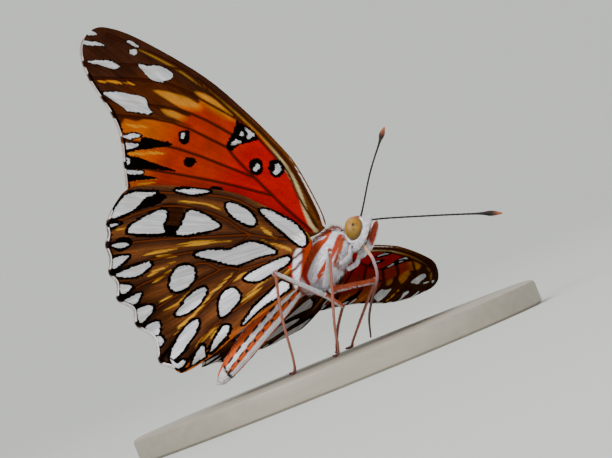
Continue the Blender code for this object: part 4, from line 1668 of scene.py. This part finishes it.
@dataclass
class Body:
    """Head, palps, thorax and abdomen as one skin, with its coat of hair and flat scales."""

    # The faces' size, and the pieces of each form along it and round it before they are joined
    voxel: float = 0.11
    grid: tuple[int, int] = (40, 28)
    markings: Markings = BodyMarkings()
    thorax: BodyForm = BodyForm(
        line=((2.5, 0, -1.6), (2.1, 0, -1.5), (1.2, 0, -1.4), (-0.4, 0, -1.9), (-2.0, 0, -2.4),
              (-3.4, 0, -2.9), (-4.5, 0, -3.2), (-5.4, 0, -3.35)),
        across=(0.7, 1.3, 1.9, 2.2, 2.2, 1.8, 1.3, 0.95),
        up=(0.8, 1.6, 2.4, 3.0, 3.1, 2.7, 1.9, 1.25),
        kind=Form.TRUNK,
        shrink=0.1,
    )
    abdomen: BodyForm = BodyForm(
        line=((-5.0, 0, -3.2), (-6.1, 0, -3.4), (-8.5, 0, -4.2), (-11.5, 0, -5.3), (-14.5, 0, -6.6),
              (-17.0, 0, -7.8), (-18.7, 0, -8.7), (-19.5, 0, -9.1)),
        across=(0.9, 1.0, 1.35, 1.4, 1.4, 1.2, 0.85, 0.3),
        up=(1.2, 1.3, 1.65, 1.75, 1.7, 1.4, 1.0, 0.4),
        kind=Form.TRUNK,
        shrink=0.1,
    )
    # Between the eyes, running back into the neck
    head: BodyForm = BodyForm(
        line=((2.3, 0, -1.6), (2.8, 0, -1.65), (3.1, 0, -1.65), (3.6, 0, -1.7), (4.1, 0, -1.75),
              (4.5, 0, -1.8)),
        across=(0.7, 0.75, 0.95, 1.05, 1.0, 0.55),
        up=(0.7, 0.75, 1.1, 1.3, 1.1, 0.6),
        kind=Form.TRUNK,
        shrink=0.02,
    )
    # The left palp, curving up in front of the face
    palp_left: BodyForm = BodyForm(
        line=((2.9, 0.82, -3.7), (3.2, 0.82, -3.8), (4.4, 0.82, -3.2), (5.3, 0.82, -2.1), (5.8, 0.82, -1.35),
              (6.05, 0.82, -0.95)),
        across=(0.3, 0.36, 0.38, 0.36, 0.32, 0.2),
        up=(0.3, 0.4, 0.44, 0.42, 0.38, 0.22),
    )
    chest: Growth = Growth(16000, 0.34, 0.075, 0.08, 11, unruly=0.1)
    mane: Growth = Growth(2600, 0.95, 0.05, 0.5, 16, spans=(0.12, 0.9), turns=(-0.17, 0.17), unruly=0.25)
    belly: Growth = Growth(1500, 0.8, 0.05, 0.4, 17, spans=(0.2, 0.95), turns=(0.4, 0.6), unruly=0.25)
    tail: Growth = Growth(9000, 0.34, 0.1, 0.06, 12, spans=(0.05, 1.0), unruly=0.1)
    crown: Growth = Growth(2600, 0.34, 0.055, 0.35, 13, back=False, spans=(0.2, 1.0))
    tuft: Growth = Growth(500, 0.75, 0.045, 1.2, 18, back=False, spans=(0.3, 0.8), turns=(-0.15, 0.15))
    face: Growth = Growth(2600, 0.34, 0.06, 0.16, 14, spans=(0.05, 1.0), unruly=0.12)
    # The seeds of the left palp's coat and of the right one's
    palp_seeds: tuple[int, int] = (14, 15)

    def palp(self, side: Side) -> BodyForm:
        """The palp of a side."""
        return replace(self.palp_left, line=side.mirror(np.array(self.palp_left.line)))

    def skin(self) -> None:
        """Joins the forms into one closed skin and colours it."""
        joined = bmesh.new()
        for form in (self.thorax, self.abdomen, self.head, self.palp(Side.LEFT), self.palp(Side.RIGHT)):
            part = finished_mesh(wrapped_grid(*self.grid, form.surface), "form")
            joined.from_mesh(part)
            bpy.data.meshes.remove(part)
        mesh = remeshed(finished_mesh(joined, "body_skin"), self.voxel)
        points = places(mesh)
        store(mesh, "coat", self.markings.colours(points))
        move_to(mesh, points)
        mesh.shade_smooth()
        add_piece(mesh, ["head", "thorax", "abdomen", "palp_left", "palp_right"], "thorax", SKIN)

    def coat(self) -> None:
        """Long hair on the thorax, short flat scales on the rest."""
        faces = [replace(self.face, seed=seed) for seed in self.palp_seeds]
        palps = [(self.palp(side), face) for side, face in zip(Side, faces)]
        rims = [Eye(side).rim() for side in Side]
        for name, slot, grown, others in (
            ("thorax_scales", "thorax", [(self.thorax, self.chest)], []),
            ("thorax_hair", "thorax", [(self.thorax, self.mane), (self.thorax, self.belly)], []),
            ("abdomen_scales", "abdomen", [(self.abdomen, self.tail)], []),
            ("head_hair", "head", [(self.head, self.crown), (self.head, self.tuft)], rims),
            ("palp_scales", "palp", palps, []),
        ):
            first, *rest = [form.bed(growth, self.markings) for form, growth in grown] + others
            Coat(name, first.join(*rest), slot).build()


def remeshed(mesh: bpy.types.Mesh, voxel: float) -> bpy.types.Mesh:
    """Fuses overlapping closed shells into one even mesh.

    Args:
        mesh: the shells, in millimetres.
        voxel: the size of the new faces.

    Returns:
        The fused mesh.
    """
    name = mesh.name
    holder = add_object("shells", mesh)
    change = holder.modifiers.new("fuse", "REMESH")
    change.mode = "VOXEL"
    change.voxel_size = voxel
    relax = holder.modifiers.new("relax", "SMOOTH")
    relax.factor = 0.5
    relax.iterations = 4
    made = bpy.data.meshes.new_from_object(holder.evaluated_get(bpy.context.evaluated_depsgraph_get()))
    bpy.data.objects.remove(holder)
    bpy.data.meshes.remove(mesh)
    made.name = name
    return made


# Limbs


@dataclass
class Limb:
    """A thin jointed limb: a round bar whose half size and colour follow its length."""

    name: str
    line: Points
    halves: Sequence[float]
    tones: Sequence[str]
    nodes: list[str]
    slot: str
    rings: int = 0
    ring_depth: float = 0.0
    steps: int = 10
    turns: int = 14
    under: str = ""

    def surface(self, run: np.ndarray, turn: np.ndarray) -> np.ndarray:
        """Points on the limb, drawn in a little at each ring.

        Args:
            run: place along it, from 0 to 1.
            turn: angle round it, 0 at the top.

        Returns:
            (x, y, z) rows.
        """
        form = BodyForm(self.line, self.halves, self.halves)
        points = form.surface(run, turn)
        if self.rings:
            waist = form.surface(run, turn, grow=-self.ring_depth)
            points = points + (waist - points) * fade(np.cos(2 * pi * run * self.rings), 0.6, 0.95)[:, None]
        return points

    def tone_at(self, run: np.ndarray, turn: np.ndarray) -> np.ndarray:
        """The colour at places on the limb.

        Args:
            run: place along it, from 0 to 1.
            turn: angle round it, 0 at the top.

        Returns:
            Linear colours, one row each.
        """
        keys = np.linspace(0, 1, len(self.tones))
        given = np.array([linear(tone) for tone in self.tones])
        tone = np.column_stack([np.interp(run, keys, column) for column in given.T])
        if self.under:
            share = within(np.abs(turn - pi), 1.7, 2.1) * within(run, 0.36, 0.42)
            tone = layered(tone, len(run), [(self.under, share)])
        return tone

    def build(self) -> None:
        """Makes and colours the limb."""
        made = wrapped_grid(self.steps * len(self.line), self.turns, self.surface, self.tone_at)
        mesh = finished_mesh(made, self.name)
        move_to(mesh, places(mesh))
        mesh.shade_smooth()
        add_piece(mesh, self.nodes, self.slot, SHELL)


@dataclass
class Limbs:
    """Feelers, tongue and legs, with the legs' bristles."""

    feelers: Sequence[tuple[str, Points]] = (
        ("right", ((4.3, -0.5, -0.35), (5.4, -1.0, 0.1), (10.0, -6.1, 0.1), (13.9, -10.4, -0.7),
                   (15.2, -11.9, -1.05), (16.2, -13.0, -1.3))),
        ("left", ((4.3, 0.5, -0.35), (5.7, 1.1, 0.1), (10.6, 6.7, 0.6), (14.7, 11.1, 0.65),
                  (16.0, 12.5, 0.63), (17.0, 13.6, 0.6))),
    )
    feeler_halves: Sequence[float] = (0.17, 0.12, 0.115, 0.14, 0.34, 0.1)
    feeler_tones: Sequence[str] = ("0D0908", "0D0908", "0D0908", "120B09", "1A0F0B", "C26A48")
    tongue: Points = (
        (3.7, 0, -2.9), (4.2, 0, -5.0), (4.4, 0, -6.6), (4.2, 0, -8.6), (3.4, 0, -10.2), (2.4, 0, -11.6),
        (1.4, 0, -13.6), (0.8, 0, -16.2),
    )
    tongue_halves: Sequence[float] = (0.2, 0.2, 0.19, 0.18, 0.17, 0.16, 0.15, 0.11)
    tongue_tones: Sequence[str] = (
        "D9B48A", "BE9276", "8C767A", "74565A", "44160F", "360E0A", "2E0B08", "280907",
    )
    foreleg: Points = ((0.6, 0.8, -4.6), (1.9, 0.9, -4.45), (2.6, 1.0, -3.4))
    foreleg_halves: Sequence[float] = (0.24, 0.22, 0.12)
    foreleg_coat: float = 0.02
    foreleg_tones: Sequence[str] = ("D6D2D6", "CFC6C4", "B89A88")
    leg_halves: Sequence[float] = (0.34, 0.34, 0.28, 0.24, 0.2, 0.18, 0.17, 0.15, 0.17, 0.11)
    leg_tones: Sequence[str] = (
        "C8C6CC", "B85A34", "B85028", "A8401C", "A0482C", "92503C", "905848", "7E4436", "4C1C14", "2A0E08",
    )
    leg_under: str = "CFCDD2"
    knee: float = 0.3
    # Coxa, knee, shin, ankle and toe, from the hinge spot in the world's directions
    walking: Sequence[tuple[str, Points]] = (
        ("hindleg_right", ((-3.75, -4.0, -4.95), (-7.4, -8.9, -1.1), (-8.6, -8.8, -6.0), (-9.2, -8.8, -11.0),
                           (-10.3, -9.1, -12.7))),
        ("midleg_right", ((-2.3, -4.0, -4.3), (-0.5, -8.0, -1.2), (-3.1, -8.3, -9.0), (-3.7, -8.4, -11.6),
                          (-4.8, -8.8, -12.7))),
        ("midleg_left", ((-1.6, -2.5, -5.5), (3.2, 1.5, -6.4), (0.7, 3.0, -9.2), (-1.8, 4.2, -12.0),
                         (-3.1, 4.7, -12.7))),
        ("hindleg_left", ((-2.9, -2.1, -5.8), (-1.5, 0.0, -7.8), (-2.9, 3.2, -9.8), (-4.0, 6.0, -12.0),
                          (-4.4, 7.4, -12.7))),
    )
    # What grows on a walking leg and on a foreleg, and its colour; each leg adds its number to the seed
    leg_growth: Sequence[tuple[Growth, str]] = (
        (Growth(900, 0.26, 0.08, 0.06, 40, spans=(0.02, 0.4), turns=(0.28, 0.72)), "C2C0C8"),
        (Growth(500, 0.26, 0.08, 0.06, 50, spans=(0.02, 0.4), turns=(-0.22, 0.22)), "B0441A"),
        (Growth(320, 0.26, 0.035, 0.6, 60, spans=(0.43, 0.97)), "7A3A28"),
    )
    foreleg_growth: Sequence[tuple[Growth, str]] = (
        (Growth(2200, 0.3, 0.055, 0.2, 70, turns=(-0.08, 0.8)), "D4D1D8"),
        (Growth(240, 0.3, 0.05, 0.2, 80, turns=(0.82, 0.9)), "A84E20"),
    )

    def leg_line(self, joints: Points) -> np.ndarray:
        """A walking leg's joints as a line with tight bends, from the body to the toe.

        Args:
            joints: coxa, knee, shin, ankle and toe.

        Returns:
            Points in the animal's frame.
        """
        coxa, knee, shin, ankle, toe = [np.array(point) for point in joints]
        inner = coxa + (coxa - knee) * 0.12
        heel = ankle + (toe - ankle) * 0.4
        heel[2] = toe[2]
        near, past = knee + self.knee * unit(np.array([coxa - knee, shin - knee]))
        rows = [inner, coxa, (coxa + knee) / 2, near, knee, past, shin, ankle, heel, toe]
        return STANCE.from_world(np.array(rows))

    def build(self) -> None:
        """Builds every limb."""
        halves, tones = self.feeler_halves, self.feeler_tones
        for word, line in self.feelers:
            name, nodes = f"feeler_{word}", [f"antenna_{word}"]
            Limb(name, line, halves, tones, nodes, "antenna", rings=44, ring_depth=0.02, steps=40).build()
        line, halves, tones, nodes = self.tongue, self.tongue_halves, self.tongue_tones, ["proboscis"]
        Limb("tongue", line, halves, tones, nodes, "proboscis", rings=60, ring_depth=0.012, steps=30).build()
        halves, tones = self.foreleg_halves, self.foreleg_tones
        for side in Side:
            line, nodes = side.mirror(np.array(self.foreleg)), [f"foreleg_{side.word}"]
            Limb(f"front_leg_{side.word}", line, halves, tones, nodes, "leg").build()
        halves, tones = self.leg_halves, self.leg_tones
        for name, joints in self.walking:
            line, nodes = self.leg_line(joints), [f"{name}_femur", f"{name}_shank"]
            Limb(name, line, halves, tones, nodes, "leg", steps=8, under=self.leg_under).build()

    def bristles(self) -> None:
        """Flat scales along each leg's thigh, and fine spines below the knee."""
        halves = [half + self.foreleg_coat for half in self.foreleg_halves]
        walking = [(self.leg_line(joints), self.leg_halves) for _, joints in self.walking]
        front = [(side.mirror(np.array(self.foreleg)), halves) for side in Side]
        beds = []
        for legs, grown in ((walking, self.leg_growth), (front, self.foreleg_growth)):
            for index, (line, halves) in enumerate(legs):
                form = BodyForm(line, halves, halves)
                for growth, tone in grown:
                    beds.append(form.bed(replace(growth, seed=growth.seed + index), OneTone(tone)))
        Coat("leg_bristles", beds[0].join(*beds[1:]), "leg").build()


# Base and studio


@dataclass
class Stand:
    """The round base on which the animal stands."""

    radius: float = 26.0
    thick: float = 3.0
    # The rounding of the upper edge, the corner left in its middle, and the bevel of the lower edge
    edge: float = 0.5
    corner: float = 0.15
    foot: float = 0.3
    steps: int = 160

    def build(self) -> None:
        """Turns the base as one profile about its axis."""
        made = bmesh.new()
        rim = [
            (0, 0),
            (self.radius - self.foot, 0),
            (self.radius, self.foot),
            (self.radius, self.thick - self.edge),
            (self.radius - self.corner, self.thick - self.corner),
            (self.radius - self.edge, self.thick),
            (0, self.thick),
        ]
        verts = [made.verts.new((r * MM, 0, z * MM)) for r, z in rim]
        edges = [made.edges.new(pair) for pair in zip(verts, verts[1:])]
        whole = {"axis": (0, 0, 1), "angle": 2 * pi, "steps": self.steps, "use_merge": True}
        bmesh.ops.spin(made, geom=verts + edges, cent=(0, 0, 0), **whole)
        bmesh.ops.remove_doubles(made, verts=made.verts[:], dist=1e-7)
        bmesh.ops.recalc_face_normals(made, faces=made.faces[:])
        mesh = finished_mesh(made, "turned_base")
        mesh.shade_smooth()
        mesh.set_sharp_from_angle(angle=radians(35))
        add_piece(mesh, ["stand_base"], "stand_base", BASE)


@dataclass
class Studio:
    """Floor, lights and the camera at the photograph's view."""

    roll: float = radians(22)
    distance: float = 700.0
    scale: float = 8.358
    width: int = 612
    height: int = 458
    centre: tuple[float, float] = (330.0, 241.3)
    sensor: float = 36.0
    # The floor in metres: where it starts and bends, the bend's radius, its top and half its width
    start: float = -3.0
    behind: float = 0.5
    radius: float = 1.2
    top: float = 4.0
    half: float = 4.0
    bends: int = 24
    sky: str = "E8EAEC"
    glow: float = 0.42
    aim: tuple[float, float, float] = (0.0, 0.0, 0.015)
    # Each lamp's name, place and side in metres, and its power in watts
    lamps: Sequence[tuple[str, tuple[float, float, float], float, float]] = (
        ("key", (-0.75, -1.2, 1.2), 1.05, 38.0),
        ("fill", (1.2, -1.35, 0.6), 1.35, 18.0),
        ("top", (0.0, 0.3, 1.8), 1.5, 20.0),
    )

    def build(self) -> None:
        """Sets up the whole studio."""
        self.camera()
        self.floor()
        self.light()
        world = bpy.data.worlds.new("studio")
        world.use_nodes = True
        background = world.node_tree.nodes["Background"]
        background.inputs["Color"].default_value = linear(self.sky)
        background.inputs["Strength"].default_value = self.glow
        bpy.context.scene.world = world

    def camera(self) -> None:
        """A level camera, rolled as the photographer's was to the animal's footing."""
        data = bpy.data.cameras.new("view")
        data.sensor_width = self.sensor
        data.lens = self.scale * self.distance / self.width * data.sensor_width
        data.shift_x = (self.width / 2 - self.centre[0]) / self.width
        data.shift_y = (self.centre[1] - self.height / 2) / self.width
        data.clip_start, data.clip_end = 0.05, 20
        camera = add_object("view", data)
        camera.matrix_world = (
            Matrix.Translation(Vector(STANCE.hinge) * MM + Vector((0, -self.distance * MM, 0)))
            @ Matrix.Rotation(radians(90), 4, "X")
            @ Matrix.Rotation(-self.roll, 4, "Z")
        )
        bpy.context.scene.camera = camera

    def floor(self) -> None:
        """A wide matt sheet that the base stands on, rising behind it in one sweep."""
        made = bmesh.new()
        profile = [(self.start, 0.0)]
        for bend in [(count / self.bends) * pi / 2 for count in range(self.bends + 1)]:
            profile.append((self.behind + self.radius * sin(bend), self.radius * (1 - cos(bend))))
        profile.append((self.behind + self.radius, self.top))
        verts = [made.verts.new((-self.half, y, z)) for y, z in profile]
        edges = [made.edges.new(pair) for pair in zip(verts, verts[1:])]
        grown = bmesh.ops.extrude_edge_only(made, edges=edges)
        far = [item for item in grown["geom"] if isinstance(item, bmesh.types.BMVert)]
        bmesh.ops.translate(made, verts=far, vec=(2 * self.half, 0, 0))
        bmesh.ops.recalc_face_normals(made, faces=made.faces[:])
        mesh = finished_mesh(made, "studio_floor")
        mesh.shade_smooth()
        mesh.materials.append(PAPER.material())
        floor = add_object("studio_floor", mesh)

    def light(self) -> None:
        """Soft square lamps that face the animal."""
        for name, place, size, power in self.lamps:
            data = bpy.data.lights.new(name, "AREA")
            data.size = size
            data.energy = power
            lamp = add_object(name, data)
            lamp.location = place
            lamp.rotation_euler = (Vector(self.aim) - Vector(place)).to_track_quat("-Z", "Y").to_euler()


def main() -> None:
    """Builds every piece in order and reports it."""
    logging.basicConfig(level=logging.INFO, format="%(name)s %(message)s", stream=sys.stdout)
    Studio().build()
    for plan in (FOREWING, HINDWING):
        for side in Side:
            wing = Wing(plan, side)
            wing.build()
            Coat(f"{wing.name}_fringe", wing.fringe(), plan.name).build()
    body = Body()
    body.skin()
    body.coat()
    for side in Side:
        Eye(side).build()
    limbs = Limbs()
    limbs.build()
    limbs.bristles()
    Stand().build()


if __name__ == "__main__":
    main()
